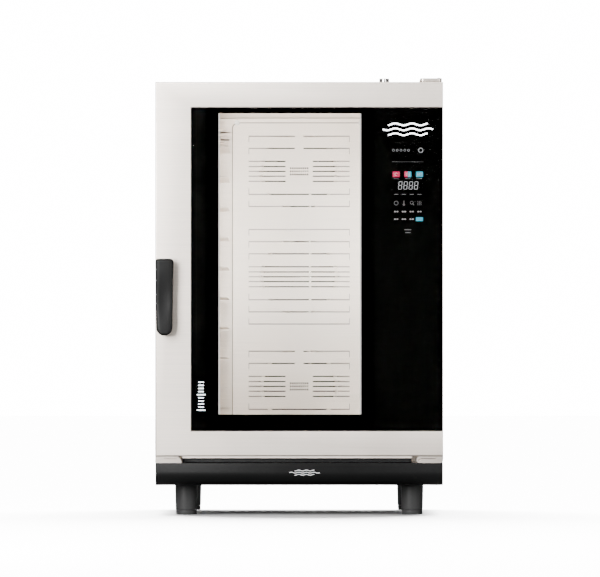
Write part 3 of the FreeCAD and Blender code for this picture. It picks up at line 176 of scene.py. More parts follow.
class Shell:
    """Collects grids and flat caps, and becomes one mesh object at the origin."""

    def __init__(self):
        self.points, self.faces, self.count = [], [], 0

    def grid(self, points, wrap_rows=False, wrap_columns=False, caps=False):
        """points is rows by columns by 3. caps closes the first and last row with a flat face."""
        rows, columns = points.shape[:2]
        start = self.count
        self.points.append(points.reshape(-1, 3))
        self.faces += (quads(rows, columns, wrap_rows, wrap_columns) + start).tolist()
        if caps:
            self.faces.append((start + np.arange(columns)[::-1]).tolist())
            self.faces.append((start + (rows - 1) * columns + np.arange(columns)).tolist())
        self.count += rows * columns
        return self

    def build(self, name, body, finish, slot, replaces=(), sharp=35):
        """Merge doubles, face outwards, shade smooth up to the sharp angle and ride on a body.
        Faces with more than four corners are flat caps and stay flat."""
        mesh = bpy.data.meshes.new(name)
        mesh.from_pydata(np.concatenate(self.points).tolist(), [], self.faces)
        work = bmesh.new()
        work.from_mesh(mesh)
        bmesh.ops.remove_doubles(work, verts=work.verts, dist=1e-6)
        bmesh.ops.recalc_face_normals(work, faces=work.faces)
        work.to_mesh(mesh)
        work.free()
        corners = np.empty(len(mesh.polygons), np.int32)
        mesh.polygons.foreach_get("loop_total", corners)
        mesh.polygons.foreach_set("use_smooth", corners <= 4)
        mesh.set_sharp_from_angle(angle=math.radians(sharp))
        made = bpy.data.objects.new(name, mesh)
        bpy.context.scene.collection.objects.link(made)
        mesh.materials.append(finish)
        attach(made, body)
        if replaces:
            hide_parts(*replaces)


def corner_arc(steps=6):
    return np.linspace(0, math.pi / 2, steps)


def rounded_rectangle(x, z, radius, steps=6):
    """Closed outline: four quarter circles about the corner centres, anticlockwise."""
    radii = np.broadcast_to(radius, 4)
    outline = []
    for index, (cx, cz) in enumerate(((x[1], z[1]), (x[0], z[1]), (x[0], z[0]), (x[1], z[0]))):
        angle = corner_arc(steps) + index * math.pi / 2
        inward = ((-1, -1), (1, -1), (1, 1), (-1, 1))[index]
        centre = np.array([cx + inward[0] * radii[index], cz + inward[1] * radii[index]])
        outline.append(centre + radii[index] * np.stack([np.cos(angle), np.sin(angle)], 1))
    return np.concatenate(outline)


def circle(radius, steps=32, centre=(0, 0)):
    """Points at equal angles: centre plus radius times (cosine, sine)."""
    angle = np.arange(steps) * 2 * math.pi / steps
    return np.array(centre) + radius * np.stack([np.cos(angle), np.sin(angle)], 1)


def inward_normals(outline):
    """Unit vector to the left of the line from the point before to the point after."""
    along = np.roll(outline, -1, 0) - np.roll(outline, 1, 0)
    length = np.linalg.norm(along, axis=1, keepdims=True)
    along = along / np.where(length == 0, 1, length)
    return np.stack([-along[:, 1], along[:, 0]], 1)


def place(flat, depth, axis):
    """Put flat points at a depth on the plane across the axis."""
    depth = np.full(len(flat), depth)
    order = {"x": (depth, flat[:, 0], flat[:, 1]), "y": (flat[:, 0], depth, flat[:, 1]),
             "z": (flat[:, 0], flat[:, 1], depth)}
    return np.stack(order[axis], 1)


def slab(outline, axis, low, high, bevel, steps=4, shell=None):
    """Plate of an outline. Near each face the outline moves inwards by bevel times
    (1 - sine) while the depth moves by bevel times (1 - cosine)."""
    shell = shell or Shell()
    normals = inward_normals(outline)
    angle = np.linspace(0, math.pi / 2, steps)
    inset = bevel * (1 - np.sin(angle))
    depth = bevel * (1 - np.cos(angle))
    insets = np.concatenate([inset, inset[::-1]])
    depths = np.concatenate([low + depth, high - depth[::-1]])
    rings = [place(outline + normals * i, d, axis) for i, d in zip(insets, depths)]
    return shell.grid(np.stack(rings), wrap_columns=True, caps=True)


def lathe(profile, axis, centre, steps=48, shell=None):
    """Turn a profile of (radius, place along the axis) round the axis."""
    shell = shell or Shell()
    profile = np.asarray(profile, float)
    rings = [place(circle(max(radius, 1e-7), steps, centre), depth, axis) for radius, depth in profile]
    return shell.grid(np.stack(rings), wrap_columns=True, caps=True)


def hollow_lathe(profile, axis, centre, steps=48, shell=None):
    """Turn a closed profile of (radius, place along the axis) round the axis."""
    shell = shell or Shell()
    rings = [place(circle(radius, steps, centre), depth, axis) for radius, depth in profile]
    return shell.grid(np.stack(rings), wrap_rows=True, wrap_columns=True)


def screw_head(shell, axis, centre, seat, height, radius):
    """Low domed head: the radius times the cosine, the height times the sine."""
    dome = [(radius * math.cos(t), seat + height * math.sin(t)) for t in np.linspace(0, 1.35, 6)]
    return lathe([(radius * 0.9, seat - 0.3 * MM)] + dome, axis, centre, 16, shell)


def smooth(distance, outer, inner):
    """One inside the inner distance, nothing beyond the outer, and a smooth step between."""
    share = np.clip((outer - distance) / (outer - inner), 0, 1)
    return share * share * (3 - 2 * share)


def ribbon(path, width):
    """Outline of a band along a path: each side is the path moved by half the width along
    its normal."""
    along = np.gradient(path, axis=0)
    along /= np.linalg.norm(along, axis=1, keepdims=True)
    across = np.stack([-along[:, 1], along[:, 0]], 1) * width / 2
    return np.concatenate([path - across, (path + across)[::-1]])


def wave(count, centre, reach, height, length):
    """Path on both sides of a centre: the height moves by the sine of the place along it."""
    run = np.linspace(-1, 1, count) * reach
    return np.stack([centre[0] + run, centre[1] + height * np.sin(run * math.pi / length)], 1)


# ------------------------------------------------------------------ materials
def node_group(name, inputs, outputs):
    """Empty shader group with its named sockets."""
    group = bpy.data.node_groups.new(name, "ShaderNodeTree")
    for label, kind, default in inputs:
        socket = group.interface.new_socket(name=label, in_out="INPUT", socket_type=kind)
        socket.default_value = default
    for label, kind in outputs:
        group.interface.new_socket(name=label, in_out="OUTPUT", socket_type=kind)
    return group, group.nodes.new("NodeGroupInput"), group.nodes.new("NodeGroupOutput")


def wire(tree, *pairs):
    for source, target in pairs:
        tree.links.new(source, target)


def grain_group():
    """Brushed grain: noise pulled out along one axis, as a mask and as a normal."""
    group, enter, leave = node_group("Brushed grain", [
        ("Stretch", "NodeSocketVector", (2, 300, 300)), ("Depth", "NodeSocketFloat", 0.1)],
        [("Mask", "NodeSocketFloat"), ("Normal", "NodeSocketVector")])
    where = group.nodes.new("ShaderNodeTexCoord")
    scale = group.nodes.new("ShaderNodeVectorMath")
    scale.operation = "MULTIPLY"
    noise = group.nodes.new("ShaderNodeTexNoise")
    noise.inputs["Scale"].default_value = 1.0
    noise.inputs["Detail"].default_value = 4.0
    bump = group.nodes.new("ShaderNodeBump")
    bump.inputs["Distance"].default_value = 0.0004
    wire(group, (where.outputs["Object"], scale.inputs[0]), (enter.outputs["Stretch"], scale.inputs[1]),
         (scale.outputs[0], noise.inputs["Vector"]), (noise.outputs["Fac"], bump.inputs["Height"]),
         (enter.outputs["Depth"], bump.inputs["Strength"]), (noise.outputs["Fac"], leave.inputs["Mask"]),
         (bump.outputs["Normal"], leave.inputs["Normal"]))
    return group


def speckle_group():
    """Fine moulded or sprayed grain: even noise as a mask and as a normal."""
    group, enter, leave = node_group("Fine speckle", [
        ("Scale", "NodeSocketFloat", 900.0), ("Depth", "NodeSocketFloat", 0.2)],
        [("Mask", "NodeSocketFloat"), ("Normal", "NodeSocketVector")])
    where = group.nodes.new("ShaderNodeTexCoord")
    noise = group.nodes.new("ShaderNodeTexNoise")
    noise.inputs["Detail"].default_value = 2.0
    bump = group.nodes.new("ShaderNodeBump")
    bump.inputs["Distance"].default_value = 0.0003
    wire(group, (where.outputs["Object"], noise.inputs["Vector"]),
         (enter.outputs["Scale"], noise.inputs["Scale"]), (noise.outputs["Fac"], bump.inputs["Height"]),
         (enter.outputs["Depth"], bump.inputs["Strength"]), (noise.outputs["Fac"], leave.inputs["Mask"]),
         (bump.outputs["Normal"], leave.inputs["Normal"]))
    return group


def cloud_group():
    """Slow change over the surface, for handling marks, film and heat tint."""
    group, enter, leave = node_group("Slow cloud", [
        ("Scale", "NodeSocketFloat", 4.0), ("Low", "NodeSocketFloat", 0.0),
        ("High", "NodeSocketFloat", 1.0)], [("Value", "NodeSocketFloat")])
    where = group.nodes.new("ShaderNodeTexCoord")
    noise = group.nodes.new("ShaderNodeTexNoise")
    noise.inputs["Detail"].default_value = 3.0
    spread = group.nodes.new("ShaderNodeMapRange")
    spread.inputs["From Min"].default_value = 0.3
    spread.inputs["From Max"].default_value = 0.7
    wire(group, (where.outputs["Object"], noise.inputs["Vector"]),
         (enter.outputs["Scale"], noise.inputs["Scale"]), (noise.outputs["Fac"], spread.inputs["Value"]),
         (enter.outputs["Low"], spread.inputs["To Min"]), (enter.outputs["High"], spread.inputs["To Max"]),
         (spread.outputs["Result"], leave.inputs["Value"]))
    return group


GROUPS = {}
MATERIALS = {}


def use_group(tree, key, values):
    """Place a shared group in a material with that material's own values."""
    makers = {"grain": grain_group, "speckle": speckle_group, "cloud": cloud_group}
    if key not in GROUPS:
        GROUPS[key] = makers[key]()
    made = tree.nodes.new("ShaderNodeGroup")
    made.node_tree = GROUPS[key]
    for name, value in values.items():
        made.inputs[name].default_value = value
    return made


def principled(name, **sockets):
    """New material and its Principled shader with plain values on the sockets."""
    made = bpy.data.materials.new(name)
    made.use_nodes = True
    shader = made.node_tree.nodes["Principled BSDF"]
    for label, value in sockets.items():
        shader.inputs[label.replace("_", " ")].default_value = value
    return made, made.node_tree, shader


def tinted(tree, shader, colour, mask, low=0.9, high=1.08):
    """Base colour between a darker and a lighter shade of one colour, by a mask."""
    ramp = tree.nodes.new("ShaderNodeValToRGB")
    for element, gain in zip(ramp.color_ramp.elements, (low, high)):
        element.color = [min(channel * gain, 1) for channel in colour] + [1]
    ramp.color_ramp.elements[0].position, ramp.color_ramp.elements[1].position = 0.3, 0.7
    wire(tree, (mask, ramp.inputs["Fac"]), (ramp.outputs["Color"], shader.inputs["Base Color"]))


def brushed(name, colour, stretch, rough=(0.26, 0.36), depth=0.12, spread=(0.95, 1.04)):
    """Rolled or brushed metal sheet."""
    made, tree, shader = principled(name, Metallic=1.0)
    grain = use_group(tree, "grain", {"Stretch": stretch, "Depth": depth})
    cloud = use_group(tree, "cloud", {"Scale": 5.0, "Low": rough[0], "High": rough[1]})
    tinted(tree, shader, colour, grain.outputs["Mask"], *spread)
    wire(tree, (cloud.outputs["Value"], shader.inputs["Roughness"]),
         (grain.outputs["Normal"], shader.inputs["Normal"]))
    return made


def moulded(name, colour, rough=(0.45, 0.6), scale=900.0, depth=0.25, gloss=0.5, coat=0.0, metallic=0.0):
    """Moulded plastic, rubber, casting or sprayed coat."""
    made, tree, shader = principled(name, Metallic=metallic, Coat_Weight=coat, Coat_Roughness=0.2,
                                    Specular_IOR_Level=gloss)
    speckle = use_group(tree, "speckle", {"Scale": scale, "Depth": depth})
    cloud = use_group(tree, "cloud", {"Scale": 9.0, "Low": rough[0], "High": rough[1]})
    tinted(tree, shader, colour, speckle.outputs["Mask"], 0.85, 1.15)
    wire(tree, (cloud.outputs["Value"], shader.inputs["Roughness"]),
         (speckle.outputs["Normal"], shader.inputs["Normal"]))
    return made


def clear_glass(name, tint):
    """Clear pane with a thin film of handling marks."""
    made, tree, shader = principled(name, Base_Color=(*tint, 1), Transmission_Weight=1.0, IOR=PANE_BEND)
    cloud = use_group(tree, "cloud", {"Scale": 14.0, "Low": 0.0, "High": PANE_FILM})
    wire(tree, (cloud.outputs["Value"], shader.inputs["Roughness"]))
    return made


def glowing(name, colour, strength):
    """Lit mark or diffuser; the glow varies a little over the surface."""
    made, tree, shader = principled(name, Base_Color=(*(0.02 * c for c in colour), 1), Roughness=0.6,
                                    Emission_Strength=strength)
    cloud = use_group(tree, "cloud", {"Scale": 60.0})
    ramp = tree.nodes.new("ShaderNodeValToRGB")
    for element, gain in zip(ramp.color_ramp.elements, (0.9, 1.0)):
        element.color = [channel * gain for channel in colour] + [1]
    wire(tree, (cloud.outputs["Value"], ramp.inputs["Fac"]),
         (ramp.outputs["Color"], shader.inputs["Emission Color"]))
    return made


ALONG_X, ALONG_Y, ALONG_Z, EVEN = (3, 420, 420), (420, 3, 420), (420, 420, 3), (40, 40, 40)
PANE_BEND = 1.01
PANE_FILM = 0.004


def finish_table():
    """Maker and values of every finish, with the colours of the settings."""
    look = bpy.context.scene.oven_finish
    steel, inner, enamel, grip, ink, red, cyan = (tuple(colour) for colour in (
        look.steel, look.inner_steel, look.enamel, look.grip, look.print_black, look.key_red, look.key_cyan))
    return {
        # colour, direction of the grain, roughness, depth of the grain, shades
        "door_steel": (brushed, steel, ALONG_X, (0.4, 0.48)),
        "side_steel": (brushed, steel, ALONG_Z),
        "roof_steel": (brushed, steel, ALONG_Y),
        "bracket_steel": (brushed, tuple(channel * 0.9 for channel in steel), ALONG_X, (0.3, 0.42)),
        "chamber_steel": (brushed, inner, ALONG_Z, (0.34, 0.46), 0.08),
        # painted shade: dark warm steel that stands for the shade the inlet plate sits in
        "tinted_steel": (brushed, (0.3, 0.27, 0.25), ALONG_X, (0.5, 0.6), 0.05),
        "guard_steel": (brushed, inner, ALONG_X, (0.4, 0.5), 0.06),
        "zinc_sheet": (brushed, (0.55, 0.57, 0.58), EVEN, (0.42, 0.6), 0.05, (0.8, 1.1)),
        "heater_sheath": (brushed, (0.05, 0.042, 0.036), ALONG_Y, (0.4, 0.6)),
        "fan_steel": (brushed, (0.03, 0.028, 0.026), ALONG_Y, (0.35, 0.5)),
        "shiny_steel": (brushed, (0.8, 0.79, 0.77), ALONG_Y, (0.14, 0.22), 0.04),
        "screw_steel": (brushed, (0.5, 0.49, 0.47), ALONG_X, (0.3, 0.4)),
        "bronze": (brushed, (0.55, 0.36, 0.18), ALONG_Z, (0.3, 0.5)),
        "brass": (brushed, (0.72, 0.55, 0.26), ALONG_Y, (0.25, 0.4)),
        # colour, roughness, scale and depth of the speckle, gloss, coat, metallic
        "black_enamel": (moulded, enamel, (0.34, 0.42), 500, 0.05, 0.15),
        "grip_plastic": (moulded, grip, (0.42, 0.5), 1400, 0.12, 0.15),
        "dark_plastic": (moulded, (0.025, 0.025, 0.026)),
        "foot_coat": (moulded, (0.034, 0.034, 0.034), (0.38, 0.48), 700, 0.08, 0.2),
        "grey_pipe": (moulded, (0.22, 0.22, 0.22), (0.4, 0.5)),
        "silicone": (moulded, (0.03, 0.03, 0.032), (0.5, 0.6), 400, 0.1),
        "wool": (moulded, (0.55, 0.47, 0.26), (0.85, 0.95), 260, 1.0),
        "casting": (moulded, (0.38, 0.39, 0.4), (0.45, 0.6), 500, 0.4, 0.5, 0.0, 0.8),
        "board_green": (moulded, (0.02, 0.12, 0.05), (0.35, 0.5), 300, 0.1, 0.5, 0.3),
        "glass_print": (moulded, ink, (0.5, 0.6), 200, 0.02, 0.0),
        "border_print": (moulded, (0.0001, 0.0001, 0.0001), (0.6, 0.7), 200, 0.02, 0.0),
        # painted shadow: dark grey that stands for the shadow at the air guard's fold
        "seam_dark": (moulded, (0.12, 0.11, 0.1), (0.6, 0.7), 300, 0.05, 0.1),
        "symbol_white": (moulded, (0.75, 0.75, 0.75), (0.4, 0.5)),
        # tint
        "outer_pane": (clear_glass, (0.98, 0.99, 0.985)),
        "inner_pane": (clear_glass, (0.97, 0.98, 0.97)),
        # colour, strength
        "lamp": (glowing, (1.0, 0.98, 0.94), 1.1),
        "mark_white": (glowing, (0.9, 0.92, 0.95), 0.9),
        "mark_dim": (glowing, (0.5, 0.52, 0.55), 0.2),
        "mark_bright": (glowing, (0.95, 0.97, 1.0), 9.0),
        "mark_grey": (glowing, (0.5, 0.52, 0.55), 0.7),
        "mark_red": (glowing, red, 0.9),
        "mark_cyan": (glowing, cyan, 0.9),
    }


def finish(name):
    """The material of a finish, made when it is first asked for."""
    if name not in MATERIALS:
        maker, *values = finish_table()[name]
        MATERIALS[name] = maker(name, *values)
    return MATERIALS[name]


NODE_FINISHES = {
    "side_steel": ["side_panel_left", "side_panel_right", "front_frame"],
    "roof_steel": ["top_panel"],
    "zinc_sheet": ["base_frame", "rear_panel", "motor_plate", "exhaust_duct"],
    "chamber_steel": ["cavity_liner", "rack_pins", "tray_rack_left", "tray_rack_right", "drain_strainer",
                      "door_inner_frame", "door_drip_tray"],
    # painted shade: the inlet plate takes the dark steel that stands for shade
    "tinted_steel": ["inlet_plate"],
    "guard_steel": ["fan_baffle"],
    "shiny_steel": ["baffle_screws", "latch_shaft", "latch_hook", "temperature_probe", "steam_injector",
                    "pane_clips", "exhaust_flap", "exhaust_chimney"],
    "heater_sheath": ["heating_element_low", "heating_element_mid", "heating_element_high"],
    "fan_steel": ["fan_wheel_low", "fan_wheel_mid", "fan_wheel_high", "fan_shaft_low", "fan_shaft_mid",
                  "fan_shaft_high"],
    "casting": ["fan_motor_low", "fan_motor_mid", "fan_motor_high"],
    "bracket_steel": ["hinge_plate_bottom", "hinge_bracket_top", "support_plate", "door_skin"],
    "bronze": ["hinge_bushes"],
    "brass": ["water_valve"],
    "dark_plastic": ["cable_gland", "terminal_block", "cooling_fan_housing", "cooling_fan_rotor",
                     "handle_boss", "handle_lever", "foot_pads", "foot_sleeves"],
    "black_enamel": ["plinth_panel"],
    "grey_pipe": ["drain_pipe"],
    "silicone": ["door_gasket"],
    "wool": ["insulation_wool"],
    "board_green": ["control_board", "power_board"],
    "inner_pane": ["door_inner_glass"],
    "outer_pane": ["door_outer_glass"],
    "lamp": ["led_bars"],
}


# ------------------------------------------------------------------ pieces
def span(node, axis):
    """Low and high of a CAD node along an axis."""
    low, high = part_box(node)
    index = "xyz".index(axis)
    return low[index], high[index]


class OvenPiece:
    """Shared by the operators that build pieces."""
    bl_options = {"REGISTER", "UNDO"}

    def execute(self, context):
        self.make(context.scene.oven_shape)
        return {"FINISHED"}


class OVEN_OT_materials(OvenPiece, bpy.types.Operator):
    """Give every CAD node its finish"""
    bl_idname = "oven.materials"
    bl_label = "Finish the frame"

    def make(self, shape):
        named = [node for nodes in NODE_FINISHES.values() for node in nodes]
        missing = sorted(set(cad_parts) - set(named))
        if missing:
            raise RuntimeError("nodes with no finish: " + ", ".join(missing))
        for key, nodes in NODE_FINISHES.items():
            for node in nodes:
                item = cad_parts[node]
                if not item.material_slots:
                    item.data.materials.append(None)
                for socket in item.material_slots:
                    socket.material = finish(key)


class OVEN_OT_door_shell(OvenPiece, bpy.types.Operator):
    """Folded door shell with rounded edges round the glass recess"""
    bl_idname = "oven.door_shell"
    bl_label = "Door shell"

    def make(self, shape):
        """The section is the sheet's line: up from the recess, a quarter circle at the hem,
        across the face, a quarter circle at the outer edge and down the wall; then the same
        line one sheet further in. Each point keeps its distance from the glass or from the
        outer edge while the section runs along the head, the free side and the foot."""
        x, z = span("door_skin", "x"), span("door_skin", "z")
        front, back = span("door_skin", "y")
        glass_x, glass_z = span("door_outer_glass", "x"), span("door_outer_glass", "z")
        recess = span("door_outer_glass", "y")[1] + 0.5 * MM
        gap, edge, hem, sheet = 0.5 * MM, shape.edge_round, shape.hem_round, shape.sheet
        arc = corner_arc(7)
        from_glass = np.concatenate([[0], hem * (1 - np.cos(arc)), [sheet, sheet]]) + gap
        glass_depth = np.concatenate([[recess], front + hem * (1 - np.sin(arc)), [front + sheet, recess]])
        from_rim = np.concatenate([edge * (1 - np.sin(arc)), [0, sheet, sheet]])
        rim_depth = np.concatenate([front + edge * (1 - np.cos(arc)), [back, back, front + sheet]])
        half = 8
        offset = np.concatenate([from_glass[:half], from_rim, from_glass[half:]])
        depth = np.concatenate([glass_depth[:half], rim_depth, glass_depth[half:]])
        at_glass = np.zeros(len(offset), bool)
        at_glass[:half] = at_glass[-2:] = True
        left = np.where(at_glass, glass_x[0] - offset, x[0] + offset)
        sections = []
        for level, rim, across in ((glass_z[1], z[1], x[1]), (glass_z[1], z[1], None),
                                   (glass_z[0], z[0], None), (glass_z[0], z[0], x[1])):
            sign = 1 if rim > level else -1
            height = np.where(at_glass, level + sign * offset, rim - sign * offset)
            side = left if across is None else np.full(len(offset), across)
            sections.append(np.stack([side, depth, height], 1))
        shell = Shell().grid(np.stack(sections), wrap_columns=True, caps=True)
        wall = rounded_rectangle((recess, back), (z[0] + sheet, z[1] - sheet), 0.4 * MM, 3)
        slab(wall, "x", x[1] - sheet, x[1], 0.3 * MM, 3, shell)
        shell.build("door_shell", "door", finish("door_steel"), "stainless_satin", ("door_skin",), 40)


class OVEN_OT_glass(OvenPiece, bpy.types.Operator):
    """Outer pane with polished edges, its black print and the window's border"""
    bl_idname = "oven.glass"
    bl_label = "Outer glass"

    def make(self, shape):
        """The print keeps a bare margin at the pane's edge; the border lies round the window."""
        x, y, z = (span("door_outer_glass", axis) for axis in "xyz")
        slab(rounded_rectangle(x, z, 2 * MM, 4), "y", y[0], y[1] - MM, shape.glass_edge, 4).build(
            "outer_pane", "door", finish("outer_pane"), "printed_glass", ("door_outer_glass",))
        margin = 1.4 * MM
        rim = ((x[0] + margin, x[1] - margin), (z[0] + margin, z[1] - margin))
        window = ((shape.window_left, shape.window_right), (shape.window_low, shape.window_high))
        border = ((window[0][0] - shape.print_border, window[0][1] + shape.print_border), rim[1])
        self.print_frame("glass_print", rim, border, y[1], "glass_print")
        self.print_frame("window_border", border, window, y[1], "border_print")

    def print_frame(self, name, outside, inside, back, look):
        """Flat frame: outer and inner outline joined on the front, the back and both edges."""
        rings = [place(rounded_rectangle(*lines, 1 * MM, 4), back - depth * MM, "y")
                 for lines, depth in ((outside, 0.6), (inside, 0.6), (inside, 0.3), (outside, 0.3))]
        Shell().grid(np.stack(rings), wrap_rows=True, wrap_columns=True).build(
            name, "door", finish(look), "printed_glass")


class OVEN_OT_marks(OvenPiece, bpy.types.Operator):
    """Lit digits, touch keys and symbols behind the glass; every one is generic"""
    bl_idname = "oven.marks"
    bl_label = "Display and keys"
    # Places above the middle of the digits.
    BADGE_ROW, RULE_ROW, KEY_ROW, DASH_ROW, ICON_ROW = (mm * MM for mm in (93, 62.5, 29.5, -23.5, -46.5))
    LEVEL_ROWS = (-69 * MM, -89 * MM)
    FOOT_ROWS = ((-117 * MM, 19 * MM), (-124.5 * MM, 15 * MM))

    def make(self, shape):
        back = span("door_outer_glass", "y")[1]
        self.depth = (back - 0.9 * MM, back - 0.7 * MM)
        self.columns = [shape.panel_centre + (index - 1) * shape.panel_column * 1.5 for index in range(3)]
        self.fours = [shape.panel_centre + (index - 1.5) * shape.panel_column for index in range(4)]
        white, grey, dim, red, cyan, bright = (Shell() for _ in range(6))
        self.digits(white, shape)
        self.keys(shape, red, cyan, white, dim)
        self.icons(shape, dim)
        self.rows(shape, grey, dim, cyan)
        self.symbols(shape, bright)
        for name, shell, look in (("display_marks", white, "mark_white"), ("dim_marks", dim, "mark_dim"),
                                  ("grey_marks", grey, "mark_grey"), ("bright_marks", bright, "mark_bright"),
                                  ("red_keys", red, "mark_red"), ("cyan_keys", cyan, "mark_cyan")):
            shell.build(name, "door", finish(look), "printed_glass")

    def tile(self, shell, outline, depth=None):
        """Thin flat tile of an outline."""
        low, high = depth or self.depth
        slab(outline, "y", low, high, 0.02 * MM, 2, shell)

    def bar(self, shell, x, z, width, height, radius=None):
        """Flat bar about a middle, with round corners."""
        radius = min(width, height) * 0.3 if radius is None else radius
        sides, levels = (x - width / 2, x + width / 2), (z - height / 2, z + height / 2)
        self.tile(shell, rounded_rectangle(sides, levels, radius, 3))

    def ring(self, shell, x, z, radius, width):
        """Flat ring between two circles."""
        low, high = self.depth
        rings = [place(circle(r, 24, (x, z)), d, "y") for r, d in (
            (radius, low), (radius - width, low), (radius - width, high), (radius, high))]
        shell.grid(np.stack(rings), wrap_rows=True, wrap_columns=True)

    def steam(self, shell, x, z, height, width, depth=None):
        """Three upright waves: x moves by the sine of the height, two turns over the height."""
        spread = 4 * MM
        rise = np.linspace(0, 1, 25)
        for index in range(3):
            side = x + (index - 1) * spread + spread * 0.13 * np.sin(rise * 4 * math.pi)
            self.tile(shell, ribbon(np.stack([side, z + rise * height], 1), width), depth)

    def digits(self, shell, shape):
        """Seven pointed segments for each digit, leaning to the right by a tenth of their height."""
        tall = shape.digit_height
        half, wide, thick, gap = tall / 2, tall * 0.42, tall * 0.03, tall * 0.02
        pitch, low = tall * 0.70, shape.display_height - tall / 2
        start = shape.panel_centre - pitch * (shape.digits - 1) / 2
        segments = [self.segment((side, z + gap), (side, z + half - gap), (thick, 0))
                    for side in (-wide / 2, wide / 2) for z in (0, half)]
        segments += [self.segment((-wide / 2 + gap, z), (wide / 2 - gap, z), (0, -thick))
                     for z in (0, half, tall)]
        for index in range(shape.digits):
            for segment in segments:
                lean = segment[:, 1] * 0.1
                self.tile(shell, segment + np.stack([start + index * pitch + lean, np.full(6, low)], 1))

    def segment(self, start, end, side):
        """Six corners: both points, and both shoulders half a thickness in from each point."""
        start, end, side = np.array(start), np.array(end), np.array(side)
        step = (end - start) / np.linalg.norm(end - start) * np.linalg.norm(side)
        return np.stack([start + step - side, start, start + step + side,
                         end - step + side, end, end - step - side])

    def keys(self, shape, red, cyan, white, dim):
        """Three mode keys: hot air, both and steam. The middle one is half red and half cyan."""
        size, z = (18.5 * MM, 15 * MM), shape.display_height + self.KEY_ROW
        levels = (z - size[1] / 2, z + size[1] / 2)
        corner, square, seam = 2 * MM, 0.01 * MM, 0.1 * MM
        first, second, third = self.columns
        self.bar(red, first, z, *size, corner)
        self.tile(red, rounded_rectangle((second - size[0] / 2, second), levels,
                                         (square, corner, corner, square), 4))
        self.tile(cyan, rounded_rectangle((second + seam, second + size[0] / 2), levels,
                                          (corner, square, square, corner), 4))
        self.bar(cyan, third, z, *size, corner)
        near = (self.depth[0] - 0.08 * MM, self.depth[0] - 0.02 * MM)
        for x in (second, third):
            self.steam(white, x, z - 4 * MM, 8 * MM, 0.7 * MM, near)
        turn = np.linspace(0.3, 5.2, 22)
        swirl = np.array([first, z]) + 3.6 * MM * np.stack([np.cos(turn), np.sin(turn)], 1)
        self.tile(white, ribbon(swirl, 0.8 * MM), near)
        for x in self.columns:
            self.bar(dim, x, levels[0] - 4 * MM, 13 * MM, 1.6 * MM)

    def icons(self, shape, dim):
        """Fan, thermometer, lens and steam in a row."""
        z = shape.display_height + self.ICON_ROW
        first, second, third, fourth = self.fours
        self.ring(dim, first, z, 6 * MM, 1.6 * MM)
        self.bar(dim, second, z + 1.5 * MM, 2.4 * MM, 10 * MM)
        self.ring(dim, second, z - 4 * MM, 3 * MM, 2 * MM)
        self.ring(dim, third, z + 1 * MM, 4.6 * MM, 1.4 * MM)
        handle = np.array([third, z]) + MM * np.array([(3.4, -2.4), (6.4, -5.6)])
        self.tile(dim, ribbon(handle, 1.8 * MM))
        self.steam(dim, fourth, z - 5.5 * MM, 11 * MM, 1.3 * MM)

    def rows(self, shape, grey, dim, cyan):
        """Dashes under the display, two rows of paired marks with the start key at the end,
        the foot marks, the rule and the small rings at the head."""
        middle, base = shape.panel_centre, shape.display_height
        for x in self.fours:
            self.bar(grey, x, base + self.DASH_ROW, 11 * MM, 1 * MM)
            for level in self.LEVEL_ROWS:
                if (x, level) == (self.fours[-1], self.LEVEL_ROWS[-1]):
                    self.bar(cyan, x, base + level, 19 * MM, 10.5 * MM, 1.5 * MM)
                    continue
                for shift in (-3.2 * MM, 3.2 * MM):
                    self.bar(grey, x + shift, base + level, 5 * MM, 3.4 * MM)
        for level, width in self.FOOT_ROWS:
            self.bar(dim, middle, base + level, width, 2.2 * MM)
        self.bar(dim, middle, base + self.RULE_ROW, 84 * MM, 0.9 * MM, 0.3 * MM)
        self.ring(grey, middle + 34 * MM, base + self.BADGE_ROW, 7 * MM, 2.4 * MM)
        for index in range(5):
            self.ring(grey, middle + (10 * index - 38) * MM, base + self.BADGE_ROW, 3.2 * MM, 1 * MM)

    def symbols(self, shape, bright):
        """Three long waves for the air stream at the head of the panel, and ten bars for the
        ten levels."""
        for index, reach in enumerate((52 * MM, 66 * MM, 52 * MM)):
            centre = (shape.panel_centre, shape.symbol_height + (13 * index - 2) * MM)
            self.tile(bright, ribbon(wave(97, centre, reach, 2.6 * MM, 22 * MM), 3.4 * MM))
        for index in range(10):
            self.bar(bright, shape.scale_side, shape.window_low + (11 + 8.2 * index) * MM,
                     (14 if index % 5 else 22) * MM, 1.8 * MM)


